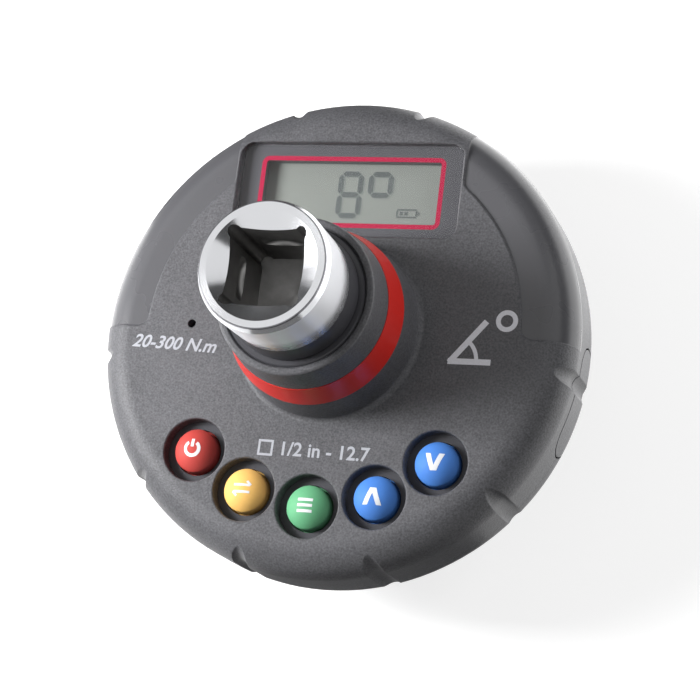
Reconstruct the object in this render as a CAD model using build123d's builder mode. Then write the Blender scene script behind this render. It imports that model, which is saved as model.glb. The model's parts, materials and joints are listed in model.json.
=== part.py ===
from build123d import *
import math

# Digital torque and angle adapter for a half inch square drive.
# Millimetres. Z is the drive axis and points from the male square to the female one.
# The male square ends at Z = 0, and +Y points to the display. Depths below the dial
# face and heights above it are measured from the face.

# Male square
male_side = 12.65
male_length = 15.2
male_corner = 0.9
male_end_chamfer = 1.0
detent_height = 7.6
ball_radius = 2.5
ball_proud = 0.9
ball_clearance = 0.08
detent_hole_end = 3.5
spring_wire = 0.5
spring_coil_radius = 1.5
spring_turns = 5

# Shaft
stub_length = 2.8
journal_radius = 10.6
journal_edge = 0.4
journal_length = 9.4
gauge_radius = 8.4
gauge_length = 8.6
gauge_taper = 1.6
snap_ring_height = 1.2
snap_ring_depth = 0.8
snap_ring_width = 2.8
snap_ring_gap_angle = 40
washer_height = 0.4
washer_width = 3.0

# Tower with the female square
tower_height = 36.7
tower_radius = 11.4
tower_foot_radius = 11.15
tower_edge_width = 0.56
tower_edge_height = 1.3
tower_edge_low_round = 0.5
tower_edge_high_round = 0.12
female_side = 12.9
female_depth = 17.4
mouth_radius = 9.55
mouth_half_angle = 57
ear_radius = 1.15
ear_inset = 0.8
ear_blend = 0.5
catch_groove_depth = 8.3
catch_groove_radius = 7.4
catch_groove_height = 3.2
catch_groove_round = 0.9

# Housing
housing_radius = 43.8
housing_height = 19.0
front_skirt = 12.8
shoulder_radius = 6.0
rear_round = 4.5
side_wall = 2.5
top_wall = 2.4
floor_wall = 1.7
inner_round = 3.0
tongue_height = 1.8
tongue_width = 1.0
tongue_clearance = 0.1

# Neck
neck_height = 19.8
neck_foot_radius = 16.4
neck_foot_round = 1.0
band_low = 7.8
band_low_radius = 15.8
band_high = 13.2
band_high_radius = 14.6
neck_top_radius = 13.9
neck_top_round = 0.6
neck_bore = 11.4
neck_boss_wall = 3.2
neck_boss_drop = 5.0
band_seat = 0.9
band_clearance = 0.05
band_proud = 0.08

# Bushes and sleeve
bush_radius = 12.5
bush_clearance = 0.05
running_clearance = 0.05
front_bush_height = 4.0
bush_edge = 0.3
sleeve_height = 4.8
sleeve_foot_radius = 11.45
sleeve_gap = 0.05

# Scalloped grooves round the rim
groove_radius = 1.9
groove_depth = 0.95
groove_bend_radius = 10.0
groove_bend_angle = 60
groove_step_angle = 16.4
groove_top_angle = 15.8

# Smooth crescents on the shoulders of the dial
crescent_width = 9.3
crescent_gap = 0.75
crescent_low = -0.6
crescent_depth = 0.45
crescent_round = 2.0
crescent_edge = 0.25

# Window and display
window_rim = 9.15
window_width = 41.5
window_length = 17.3
window_corner = 2.2
window_height = 1.2
window_clearance = 0.15
window_edge = 0.2
recess_depth = 1.0
recess_edge = 0.25
film_height = 0.15
tape_height = 0.15
view_width = 33.0
view_length = 11.7
view_margin = 0.2
view_corner = 0.5
tape_width = 3.0
pad_margin = 1.4
pad_height = 1.7
panel_width = 36.4
panel_length = 14.8
panel_height = 1.8
panel_clearance = 0.15
frame_wall = 1.3
frame_gap = 0.1
strip_width = 1.8
strip_inset = 1.2
reflector_height = 0.3

# Board and what it carries
board_depth = 7.0
board_height = 1.2
board_gap = 0.7
board_hole = 13.5
board_post_clearance = 0.3
pillar_radius = 1.8
pillar_offset = 11.0
pillar_angles = (65, 115, 195, 240, 300)
chip_height = 1.2
chip_offset = 10.5
chip_edge_inset = 5.1
processor_side = 7.0
chip_length = 5.0
chip_width = 4.0
sensor_side = 7.0
buzzer_inset = 17.95
buzzer_radius = 4.5
buzzer_height = 3.4
buzzer_hole = 0.75

# Keys on their arc
key_inset = 11.9
key_step_angle = 21.9
key_names = ("red", "yellow", "green", "blue_up", "blue_down")
well_radius = 5.65
well_edge = 0.2
key_radius = 3.9
key_crown = 1.1
key_shoulder = 0.95
key_round = 0.7
key_clearance = 0.3
key_flange = 1.0
key_flange_height = 0.8
key_travel = 0.6
key_seat = 0.05
key_plate_height = 1.2
key_plate_margin = 1.4
key_plate_clearance = 0.1
key_plate_angle = 54.6
switch_side = 6.0
switch_height = 1.6
switch_floor = 0.25
plunger_radius = 1.5
plunger_clearance = 0.25
plunger_seat = 0.02

# Screws
post_inset = 4.3
post_angles = (40, 140, 213, 327)
post_radius = 2.4
rear_post_radius = 2.9
screw_radius = 1.2
screw_hole_clearance = 0.25
screw_pilot_clearance = 0.05
screw_head_radius = 2.1
screw_head_height = 1.6
screw_head_clearance = 0.25
screw_head_sink = 1.8
screw_grip = 7.0
drive_slot = 0.6
drive_depth = 0.8

# Collar that ties the housing to the shaft
collar_radius = 19.5
collar_height = 2.4
boss_height = 3.6
collar_screw_circle = 16.2
collar_screw_count = 3
collar_screw_grip = 1.9

# Battery drawer
door_angle = -11.2
door_width = 19.6
door_height = 8.4
door_clearance = 0.28
cell_radius = 8.0
cell_height = 3.2
cell_count = 2
cell_gap = 0.05
cell_clearance = 0.15
tray_floor = 0.7
tray_front = 1.0
tray_end = 1.4
tray_window = 6.0
runner_width = 1.5
runner_spacing = 8.0
runner_clearance = 0.05
leaf_width = 4.0
leaf_height = 0.3
leaf_clearance = 0.06

# Seal in the seam
seal_width = 0.7
seal_height = 0.5
seal_clearance = 0.05
seal_inset = 0.6
seal_door_gap = 4.0

# Levels that follow
rear_z = male_length + stub_length
face_z = rear_z + housing_height
seam_z = face_z - front_skirt
top_z = face_z + tower_height
neck_z = face_z + neck_height
journal_top_z = male_length + journal_length
gauge_top_z = journal_top_z + gauge_length
sleeve_top_z = neck_z + sleeve_gap + sleeve_height
inner_radius = housing_radius - side_wall
board_radius = inner_radius - board_gap
post_circle = inner_radius - post_inset
pillar_circle = board_hole + pillar_offset
window_y = housing_radius - window_rim - window_length / 2
buzzer_x = buzzer_inset - housing_radius
crescent_radius = housing_radius - crescent_width
crescent_side = window_width / 2 + crescent_gap
key_circle = housing_radius - key_inset
key_plate_inner = key_circle - key_radius - key_flange - key_plate_margin
key_plate_outer = inner_radius - inner_round - key_plate_clearance
floor_z = rear_z + floor_wall
under_z = face_z - top_wall
board_z = face_z - board_depth
board_bottom_z = board_z - board_height
boss_z = rear_z + boss_height
collar_z = boss_z + collar_height

window_top_z = face_z - recess_depth
film_z = window_top_z - window_height
tape_z = film_z - film_height
ledge_z = tape_z - tape_height
pad_z = ledge_z - pad_height
panel_z = pad_z - panel_clearance
panel_bottom_z = panel_z - panel_height

key_plate_z = under_z - key_plate_height
key_flange_z = key_plate_z - key_seat
key_bottom_z = key_flange_z - key_flange_height
plunger_z = key_bottom_z - plunger_seat


def around(radius, angle):
    """The point at a radius and an angle in degrees about the drive axis."""
    turn = math.radians(angle)
    return (radius * math.cos(turn), radius * math.sin(turn))


def nearest(shape, *point):
    """The corner of a sketch that lies nearest to a point."""
    return shape.vertices().sort_by_distance(point)[0]


key_angles = [-90 + (index - 2) * key_step_angle for index in range(len(key_names))]
key_points = [around(key_circle, angle) for angle in key_angles]
post_points = [around(post_circle, angle) for angle in post_angles]
groove_angles = [90 - groove_top_angle, 90 + groove_top_angle]
for multiple in (1, 3, 5):
    groove_angles.append(-90 - multiple * groove_step_angle)
    groove_angles.append(-90 + multiple * groove_step_angle)
groove_place = housing_radius + groove_radius - groove_depth
collar_screw_points = [
    around(collar_screw_circle, 90 + index * 360 / collar_screw_count)
    for index in range(collar_screw_count)
]

door_out = (*around(1, door_angle), 0)
door_side = (*around(1, door_angle + 90), 0)
door_plane = Plane(origin=(0, 0, seam_z), x_dir=door_side, z_dir=door_out)
tray_plane = Plane(origin=(0, 0, 0), x_dir=door_out, z_dir=(0, 0, 1))
cell_place = inner_radius - tray_front - cell_radius - cell_clearance
tray_end_place = cell_place - cell_radius - cell_clearance - tray_end
door_low_z = seam_z - door_height / 2
cell_z = door_low_z + tray_floor
cell_top_z = cell_z + cell_count * cell_height + (cell_count - 1) * cell_gap
tray_top_z = cell_top_z - 2 * leaf_height


# Torque shaft: one piece of steel. Its foot is the male square, its thin middle carries the
# strain gauges, and its tower holds the female square with relieved corners.
with BuildPart() as torque_shaft:
    with BuildSketch(Plane.XZ) as turned:
        snap_low = rear_z - washer_height - snap_ring_height
        snap_high = rear_z - washer_height
        with BuildLine():
            Polyline(
                (0, male_length),
                (journal_radius - journal_edge, male_length),
                (journal_radius, male_length + journal_edge),
                (journal_radius, snap_low),
                (journal_radius - snap_ring_depth, snap_low),
                (journal_radius - snap_ring_depth, snap_high),
                (journal_radius, snap_high),
                (journal_radius, journal_top_z),
                (gauge_radius, journal_top_z + gauge_taper),
                (gauge_radius, gauge_top_z - gauge_taper),
                (journal_radius, gauge_top_z),
                (journal_radius, sleeve_top_z),
                (tower_foot_radius, sleeve_top_z),
                (tower_radius, top_z - tower_edge_height),
                (tower_radius - tower_edge_width, top_z),
                (0, top_z),
                close=True,
            )
        make_face()
        waist = [
            nearest(turned, gauge_radius, journal_top_z + gauge_taper),
            nearest(turned, gauge_radius, gauge_top_z - gauge_taper),
        ]
        fillet(waist, gauge_taper)
        fillet(nearest(turned, tower_radius, top_z - tower_edge_height), tower_edge_low_round)
        fillet(nearest(turned, tower_radius - tower_edge_width, top_z), tower_edge_high_round)
    revolve(axis=Axis.Z)

    with BuildSketch(Plane.XY) as square_end:
        Rectangle(male_side, male_side)
        chamfer(square_end.vertices(), male_corner)
    extrude(amount=male_length)
    chamfer(torque_shaft.faces().sort_by(Axis.Z)[0].edges(), male_end_chamfer)

    with BuildSketch(Plane.XY.offset(top_z)) as square_hole:
        Rectangle(female_side, female_side)
        ear_place = female_side / 2 - ear_inset
        with GridLocations(2 * ear_place, 2 * ear_place, 2, 2):
            Circle(ear_radius)
        fillet(square_hole.vertices(), ear_blend)
    extrude(amount=-female_depth, mode=Mode.SUBTRACT)

    with BuildSketch(Plane.XZ):
        mouth_tip = mouth_radius / math.tan(math.radians(mouth_half_angle))
        with BuildLine():
            Polyline((0, top_z), (mouth_radius, top_z), (0, top_z - mouth_tip), close=True)
        make_face()
    revolve(axis=Axis.Z, mode=Mode.SUBTRACT)

    with BuildSketch(Plane.XZ) as catch_groove:
        with Locations((catch_groove_radius / 2, top_z - catch_groove_depth)):
            Rectangle(catch_groove_radius, catch_groove_height)
        fillet(catch_groove.vertices().group_by(Axis.X)[-1], catch_groove_round)
    revolve(axis=Axis.Z, mode=Mode.SUBTRACT)

    with BuildSketch(Plane.XZ.offset(male_side / 2)):
        with Locations((0, detent_height)):
            Circle(ball_radius + ball_clearance)
    extrude(amount=-(male_side / 2 + detent_hole_end), mode=Mode.SUBTRACT)
torque_shaft.part.label = "torque_shaft"
export_step(torque_shaft.part, "parts/torque_shaft.step")


# Detent ball and its spring, in the cross hole of the male square.
ball_y = -(male_side / 2 + ball_proud - ball_radius)
with BuildPart() as detent_ball:
    with Locations((0, ball_y, detent_height)):
        Sphere(ball_radius)
detent_ball.part.label = "detent_ball"
export_step(detent_ball.part, "parts/detent_ball.step")

spring_start = ball_y + math.sqrt(ball_radius**2 - spring_coil_radius**2) + spring_wire
spring_end = detent_hole_end - spring_wire / 2 - running_clearance
spring_length = spring_end - spring_start
with BuildPart() as detent_spring:
    with BuildLine() as coil:
        Helix(
            pitch=spring_length / spring_turns,
            height=spring_length,
            radius=spring_coil_radius,
            center=(0, spring_start, detent_height),
            direction=(0, 1, 0),
        )
    with BuildSketch(Plane(origin=coil.line @ 0, z_dir=coil.line % 0)):
        Circle(spring_wire / 2)
    sweep()
detent_spring.part.label = "detent_spring"
export_step(detent_spring.part, "parts/detent_spring.step")


# The outline of both covers closed, used to trim what lies flush with the rim.
with BuildPart() as housing_form:
    with BuildSketch(Plane.XZ) as outline:
        with Locations((housing_radius / 2, rear_z + housing_height / 2)):
            Rectangle(housing_radius, housing_height)
        fillet(nearest(outline, housing_radius, face_z), shoulder_radius)
        fillet(nearest(outline, housing_radius, rear_z), rear_round)
    revolve(axis=Axis.Z)

shoulder_z = face_z - shoulder_radius
with BuildPart() as groove_cutters:
    for angle in groove_angles:
        outward = (*around(1, angle), 0)
        bend = (*around(groove_place - groove_bend_radius, angle), shoulder_z)
        start = Plane(origin=(*around(groove_place, angle), shoulder_z), x_dir=outward, z_dir=(0, 0, 1))
        with BuildSketch(start):
            Circle(groove_radius)
        extrude(amount=rear_z - shoulder_z)
        with BuildSketch(start):
            Circle(groove_radius)
        revolve(axis=Axis(bend, (outward[1], -outward[0], 0)), revolution_arc=groove_bend_angle)

with BuildPart() as doorway:
    with BuildSketch(door_plane.offset(cell_place)):
        SlotOverall(door_width + 2 * door_clearance, door_height + 2 * door_clearance)
    extrude(amount=housing_radius)


# What the crescents take off: their sunken surface is the housing's own, moved down, so that it
# runs out on the rim.
with BuildPart() as crescent_cutter:
    with BuildSketch(Plane.XY.offset(face_z)) as crescents:
        Circle(housing_radius)
        Circle(crescent_radius, mode=Mode.SUBTRACT)
        with Locations((crescent_side, crescent_low)):
            Rectangle(housing_radius, housing_radius, align=(Align.MIN, Align.MIN), mode=Mode.INTERSECT)
        inner_corners = [
            nearest(crescents, crescent_radius, crescent_low),
            nearest(crescents, crescent_side, math.sqrt(crescent_radius**2 - crescent_side**2)),
        ]
        fillet(inner_corners, crescent_round)
        mirror(about=Plane.YZ)
    extrude(amount=-shoulder_radius)
    with Locations((0, 0, -crescent_depth)):
        add(housing_form.part, mode=Mode.SUBTRACT)


# Front cover: dial face, neck, window recess, key wells, crescents and rim grooves.
with BuildPart() as front_cover:
    with BuildSketch(Plane.XZ) as shell:
        with BuildLine():
            Polyline(
                (0, seam_z),
                (housing_radius, seam_z),
                (housing_radius, face_z),
                (neck_foot_radius, face_z),
                (band_low_radius, face_z + band_low),
                (band_high_radius, face_z + band_high),
                (neck_top_radius, neck_z),
                (0, neck_z),
                close=True,
            )
        make_face()
        fillet(nearest(shell, housing_radius, face_z), shoulder_radius)
        fillet(nearest(shell, neck_foot_radius, face_z), neck_foot_round)
        fillet(nearest(shell, neck_top_radius, neck_z), neck_top_round)
    revolve(axis=Axis.Z)

    boss_radius = neck_bore + neck_boss_wall
    with BuildSketch(Plane.XZ) as cavity:
        with BuildLine():
            Polyline(
                (0, seam_z),
                (inner_radius, seam_z),
                (inner_radius, under_z),
                (boss_radius, under_z),
                (boss_radius, face_z - neck_boss_drop),
                (0, face_z - neck_boss_drop),
                close=True,
            )
        make_face()
        fillet(nearest(cavity, inner_radius, under_z), inner_round)
    revolve(axis=Axis.Z, mode=Mode.SUBTRACT)

    bush_seat_z = neck_z - front_bush_height
    with BuildSketch(Plane.XZ):
        with BuildLine():
            Polyline(
                (0, seam_z),
                (neck_bore, seam_z),
                (neck_bore, bush_seat_z),
                (bush_radius, bush_seat_z),
                (bush_radius, neck_z - bush_edge),
                (bush_radius + bush_edge, neck_z),
                (0, neck_z),
                close=True,
            )
        make_face()
    revolve(axis=Axis.Z, mode=Mode.SUBTRACT)

    with BuildSketch(Plane.XZ):
        with BuildLine():
            Polyline(
                (band_low_radius - band_seat, face_z + band_low),
                (neck_foot_radius, face_z + band_low),
                (neck_foot_radius, face_z + band_high),
                (band_high_radius - band_seat, face_z + band_high),
                close=True,
            )
        make_face()
    revolve(axis=Axis.Z, mode=Mode.SUBTRACT)

    pocket_width = window_width + 2 * window_clearance
    pocket_length = window_length + 2 * window_clearance
    with BuildSketch(Plane.XY.offset(pad_z)):
        with Locations((0, window_y)):
            RectangleRounded(
                pocket_width + 2 * pad_margin,
                pocket_length + 2 * pad_margin,
                window_corner + pad_margin,
            )
    extrude(amount=pad_height + top_wall / 2)
    with BuildSketch(Plane.XY.offset(face_z)):
        with Locations((0, window_y)):
            RectangleRounded(pocket_width, pocket_length, window_corner)
    extrude(amount=ledge_z - face_z, mode=Mode.SUBTRACT)
    with BuildSketch(Plane.XY.offset(face_z)):
        with Locations((0, window_y)):
            RectangleRounded(
                pocket_width + 2 * recess_edge,
                pocket_length + 2 * recess_edge,
                window_corner + recess_edge,
            )
    extrude(amount=-recess_edge, taper=45, mode=Mode.SUBTRACT)
    with BuildSketch(Plane.XY.offset(ledge_z)):
        with Locations((0, window_y)):
            RectangleRounded(view_width + 2 * view_margin, view_length + 2 * view_margin, view_corner)
    extrude(amount=-pad_height, mode=Mode.SUBTRACT)

    add(crescent_cutter.part, mode=Mode.SUBTRACT)
    with BuildSketch(Plane.XY.offset(face_z)):
        add(crescents.sketch)
        offset(amount=crescent_edge)
    extrude(amount=-crescent_edge, taper=45, mode=Mode.SUBTRACT)

    with BuildSketch(Plane.XY.offset(seam_z)):
        with Locations(*post_points):
            Circle(post_radius)
    extrude(amount=under_z - seam_z)
    with BuildSketch(Plane.XY.offset(seam_z)):
        with Locations(*post_points):
            Circle(screw_radius + screw_pilot_clearance)
    extrude(amount=screw_grip + screw_head_sink, mode=Mode.SUBTRACT)

    with BuildSketch(Plane.XY.offset(face_z)):
        with Locations(*key_points):
            Circle(well_radius)
        with Locations((buzzer_x, 0)):
            Circle(buzzer_hole)
    extrude(amount=-top_wall, mode=Mode.SUBTRACT)
    with Locations(*[(x, y, face_z - well_edge / 2) for x, y in key_points]):
        Cone(well_radius, well_radius + well_edge, well_edge, mode=Mode.SUBTRACT)

    add(groove_cutters.part, mode=Mode.SUBTRACT)
    add(doorway.part, mode=Mode.SUBTRACT)
front_cover.part.label = "front_cover"
export_step(front_cover.part, "parts/front_cover.step")


# Rear cover: back shell with the bush seat, screw towers, board pillars and drawer runners.
with BuildPart() as rear_cover:
    with BuildSketch(Plane.XZ) as back:
        with BuildLine():
            Polyline(
                (bush_radius, rear_z),
                (housing_radius, rear_z),
                (housing_radius, seam_z),
                (inner_radius - tongue_clearance, seam_z),
                (inner_radius - tongue_clearance, seam_z + tongue_height),
                (inner_radius - tongue_clearance - tongue_width, seam_z + tongue_height),
                (inner_radius - tongue_clearance - tongue_width, floor_z),
                (collar_radius, floor_z),
                (collar_radius, boss_z),
                (bush_radius, boss_z),
                close=True,
            )
        make_face()
        fillet(nearest(back, housing_radius, rear_z), rear_round)
        fillet(nearest(back, inner_radius - tongue_clearance - tongue_width, floor_z), floor_wall)
    revolve(axis=Axis.Z)

    with BuildSketch(Plane.XY.offset(rear_z)):
        with Locations(*post_points):
            Circle(rear_post_radius)
    extrude(amount=seam_z - rear_z)
    with BuildSketch(Plane.XY.offset(rear_z)):
        with Locations(*post_points):
            Circle(screw_radius + screw_hole_clearance)
    extrude(amount=seam_z - rear_z, mode=Mode.SUBTRACT)
    with BuildSketch(Plane.XY.offset(rear_z)):
        with Locations(*post_points):
            Circle(screw_head_radius + screw_head_clearance)
    extrude(amount=screw_head_sink, mode=Mode.SUBTRACT)

    with BuildSketch(Plane.XY.offset(floor_z)):
        with Locations(*[around(pillar_circle, angle) for angle in pillar_angles]):
            Circle(pillar_radius)
    extrude(amount=board_bottom_z - floor_z)
    with BuildSketch(Plane.XY.offset(boss_z)):
        with Locations(*collar_screw_points):
            Circle(screw_radius + screw_pilot_clearance)
    extrude(amount=-(collar_screw_grip + screw_pilot_clearance), mode=Mode.SUBTRACT)

    with BuildSketch(tray_plane.offset(floor_z)):
        with Locations((cell_place, -runner_spacing / 2), (cell_place, runner_spacing / 2)):
            Rectangle(2 * cell_radius, runner_width)
    extrude(amount=door_low_z - runner_clearance - floor_z)

    seal_outer = housing_radius - groove_depth - seal_inset
    with BuildSketch(Plane.XY.offset(seam_z)):
        Circle(seal_outer + seal_clearance)
        Circle(seal_outer - seal_width - seal_clearance, mode=Mode.SUBTRACT)
    extrude(amount=-seal_height, mode=Mode.SUBTRACT)

    add(groove_cutters.part, mode=Mode.SUBTRACT)
    add(doorway.part, mode=Mode.SUBTRACT)
rear_cover.part.label = "rear_cover"
export_step(rear_cover.part, "parts/rear_cover.step")


# Seal, let into the rear cover below the seam. It stops at the drawer.
with BuildPart() as cover_seal:
    with BuildSketch(Plane.XY.offset(seam_z)):
        Circle(seal_outer)
        Circle(seal_outer - seal_width, mode=Mode.SUBTRACT)
    extrude(amount=-seal_height)
    with BuildSketch(door_plane):
        Rectangle(door_width + 2 * seal_door_gap, 4 * seal_height)
    extrude(amount=housing_radius, mode=Mode.SUBTRACT)
cover_seal.part.label = "cover_seal"
export_step(cover_seal.part, "parts/cover_seal.step")


# Red band let into the neck.
with BuildPart() as red_band:
    with BuildSketch(Plane.XZ):
        inset = band_seat - band_clearance
        with BuildLine():
            Polyline(
                (band_low_radius - inset, face_z + band_low + band_clearance),
                (band_low_radius + band_proud, face_z + band_low + band_clearance),
                (band_high_radius + band_proud, face_z + band_high - band_clearance),
                (band_high_radius - inset, face_z + band_high - band_clearance),
                close=True,
            )
        make_face()
    revolve(axis=Axis.Z)
red_band.part.label = "red_band"
export_step(red_band.part, "parts/red_band.step")


# Bearing bushes in the mouth of the neck and in the rear cover.
bush_inner = journal_radius + running_clearance
bush_outer = bush_radius - bush_clearance
with BuildPart() as neck_bush:
    with BuildSketch(Plane.XY.offset(bush_seat_z)):
        Circle(bush_outer)
        Circle(bush_inner, mode=Mode.SUBTRACT)
    extrude(amount=front_bush_height)
    chamfer(neck_bush.edges().group_by(Axis.Z)[-1].sort_by(SortBy.RADIUS)[-1], bush_edge)
neck_bush.part.label = "neck_bush"
export_step(neck_bush.part, "parts/neck_bush.step")

with BuildPart() as rear_bush:
    with BuildSketch(Plane.XY.offset(rear_z)):
        Circle(bush_outer)
        Circle(bush_inner, mode=Mode.SUBTRACT)
    extrude(amount=boss_height - bush_clearance)
rear_bush.part.label = "rear_bush"
export_step(rear_bush.part, "parts/rear_bush.step")


# Black sleeve between the neck and the chromed tower.
with BuildPart() as shaft_sleeve:
    with BuildSketch(Plane.XZ) as sleeve_section:
        sleeve_z = neck_z + sleeve_gap
        with BuildLine():
            Polyline(
                (bush_inner, sleeve_z),
                (sleeve_foot_radius, sleeve_z),
                (tower_foot_radius, sleeve_top_z - sleeve_gap),
                (bush_inner, sleeve_top_z - sleeve_gap),
                close=True,
            )
        make_face()
        chamfer(nearest(sleeve_section, sleeve_foot_radius, sleeve_z), bush_edge)
    revolve(axis=Axis.Z)
shaft_sleeve.part.label = "shaft_sleeve"
export_step(shaft_sleeve.part, "parts/shaft_sleeve.step")


# Thrust washer and snap ring below the rear cover.
with BuildPart() as thrust_washer:
    with BuildSketch(Plane.XY.offset(rear_z - washer_height)):
        Circle(bush_inner + washer_width)
        Circle(bush_inner, mode=Mode.SUBTRACT)
    extrude(amount=washer_height)
thrust_washer.part.label = "thrust_washer"
export_step(thrust_washer.part, "parts/thrust_washer.step")

ring_inner = journal_radius - snap_ring_depth + running_clearance
ring_middle = ring_inner + snap_ring_width / 2
with BuildPart() as retaining_ring:
    with BuildSketch(Plane.XY.offset(snap_low + running_clearance)):
        Circle(ring_inner + snap_ring_width)
        Circle(ring_inner, mode=Mode.SUBTRACT)
        gap_half = ring_middle * math.sin(math.radians(snap_ring_gap_angle / 2))
        with Locations((0, ring_middle)):
            Rectangle(2 * gap_half, 2 * snap_ring_width, mode=Mode.SUBTRACT)
        for side in (-1, 1):
            ear_angle = 90 + side * (snap_ring_gap_angle / 2 + 6)
            with Locations(around(ring_middle, ear_angle)):
                Circle(snap_ring_width / 4, mode=Mode.SUBTRACT)
    extrude(amount=snap_ring_height - 2 * running_clearance)
retaining_ring.part.label = "retaining_ring"
export_step(retaining_ring.part, "parts/retaining_ring.step")


# Collar pressed on the lower journal and screwed to the boss of the rear cover.
with BuildPart() as clamp_collar:
    with BuildSketch(Plane.XY.offset(boss_z)):
        Circle(collar_radius)
        Circle(journal_radius, mode=Mode.SUBTRACT)
        with Locations(*collar_screw_points):
            Circle(screw_radius + screw_hole_clearance, mode=Mode.SUBTRACT)
    extrude(amount=collar_height)
    chamfer(clamp_collar.edges().group_by(Axis.Z)[-1].sort_by(SortBy.RADIUS)[-1], bush_edge)
clamp_collar.part.label = "clamp_collar"
export_step(clamp_collar.part, "parts/clamp_collar.step")


def screw(x, y, seat_z, length, up):
    """A pan head screw with a cross slot. Its shank runs down from the seat, or up from it."""
    turn = 1 if up else -1
    seat = Plane(origin=(x, y, seat_z), x_dir=(1, 0, 0), z_dir=(0, 0, turn))
    with BuildPart() as pan_head:
        with BuildSketch(seat):
            Circle(screw_radius)
        extrude(amount=length)
        with BuildSketch(seat):
            Circle(screw_head_radius)
        extrude(amount=-screw_head_height)
        head_top = seat.offset(-screw_head_height)
        with BuildSketch(head_top):
            Rectangle(2 * screw_head_radius * 0.7, drive_slot)
            Rectangle(drive_slot, 2 * screw_head_radius * 0.7)
        extrude(amount=drive_depth, mode=Mode.SUBTRACT)
        outer_edge = pan_head.edges().filter_by(GeomType.CIRCLE).sort_by_distance(head_top.origin)
        rim = [edge for edge in outer_edge if abs(edge.center().Z - head_top.origin.Z) < 0.001]
        fillet(rim[0], screw_head_height / 4)
    return pan_head.part


collar_screws = Compound(
    label="collar_screws",
    children=[screw(x, y, collar_z, collar_height + collar_screw_grip, False) for x, y in collar_screw_points],
)
export_step(collar_screws, "parts/collar_screws.step")

housing_screws = Compound(
    label="housing_screws",
    children=[
        screw(x, y, rear_z + screw_head_sink, seam_z - rear_z - screw_head_sink + screw_grip, True)
        for x, y in post_points
    ],
)
export_step(housing_screws, "parts/housing_screws.step")


# Window plate, printed film and adhesive frame, seated in the recess one on the other.
with BuildPart() as display_window:
    with BuildSketch(Plane.XY.offset(film_z)):
        with Locations((0, window_y)):
            RectangleRounded(window_width, window_length, window_corner - window_clearance)
    extrude(amount=window_height)
    chamfer(display_window.edges().group_by(Axis.Z)[-1], window_edge)
display_window.part.label = "display_window"
export_step(display_window.part, "parts/display_window.step")

with BuildPart() as window_print:
    with BuildSketch(Plane.XY.offset(tape_z)):
        with Locations((0, window_y)):
            RectangleRounded(window_width, window_length, window_corner - window_clearance)
            RectangleRounded(view_width, view_length, view_corner, mode=Mode.SUBTRACT)
    extrude(amount=film_height)
window_print.part.label = "window_print"
export_step(window_print.part, "parts/window_print.step")

with BuildPart() as window_tape:
    with BuildSketch(Plane.XY.offset(ledge_z)):
        with Locations((0, window_y)):
            RectangleRounded(window_width, window_length, window_corner - window_clearance)
            RectangleRounded(
                window_width - 2 * tape_width,
                view_length + 2 * view_margin,
                view_corner,
                mode=Mode.SUBTRACT,
            )
    extrude(amount=tape_height)
window_tape.part.label = "window_tape"
export_step(window_tape.part, "parts/window_tape.step")


# Liquid crystal panel, reflector behind it, rubber connectors and the frame on the board.
with BuildPart() as lcd_panel:
    with BuildSketch(Plane.XY.offset(panel_bottom_z)):
        with Locations((0, window_y)):
            Rectangle(panel_width, panel_length)
    extrude(amount=panel_height)
lcd_panel.part.label = "lcd_panel"
export_step(lcd_panel.part, "parts/lcd_panel.step")

strip_place = panel_length / 2 - strip_inset - strip_width / 2
with BuildPart() as lcd_reflector:
    with BuildSketch(Plane.XY.offset(panel_bottom_z - reflector_height)):
        with Locations((0, window_y)):
            Rectangle(view_width, 2 * strip_place - strip_width - 2 * panel_clearance)
    extrude(amount=reflector_height)
lcd_reflector.part.label = "lcd_reflector"
export_step(lcd_reflector.part, "parts/lcd_reflector.step")

with BuildPart() as zebra_strips:
    with BuildSketch(Plane.XY.offset(board_z)):
        with Locations((0, window_y - strip_place), (0, window_y + strip_place)):
            Rectangle(view_width, strip_width)
    extrude(amount=panel_bottom_z - board_z)
zebra_strips.part.label = "zebra_strips"
export_step(zebra_strips.part, "parts/zebra_strips.step")

with BuildPart() as lcd_frame:
    frame_inner_width = panel_width + 2 * panel_clearance
    frame_inner_length = panel_length + 2 * panel_clearance
    with BuildSketch(Plane.XY.offset(board_z)):
        with Locations((0, window_y)):
            Rectangle(frame_inner_width + 2 * frame_wall, frame_inner_length + 2 * frame_wall)
            Rectangle(frame_inner_width, frame_inner_length, mode=Mode.SUBTRACT)
    extrude(amount=pad_z - frame_gap - board_z)
lcd_frame.part.label = "lcd_frame"
export_step(lcd_frame.part, "parts/lcd_frame.step")


# Main board: a ring round the shaft, notched for the screw posts, on the pillars.
with BuildPart() as main_board:
    with BuildSketch(Plane.XY.offset(board_bottom_z)):
        Circle(board_radius)
        Circle(board_hole, mode=Mode.SUBTRACT)
        with Locations(*post_points):
            Circle(post_radius + board_post_clearance, mode=Mode.SUBTRACT)
    extrude(amount=board_height)
main_board.part.label = "main_board"
export_step(main_board.part, "parts/main_board.step")


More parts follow.
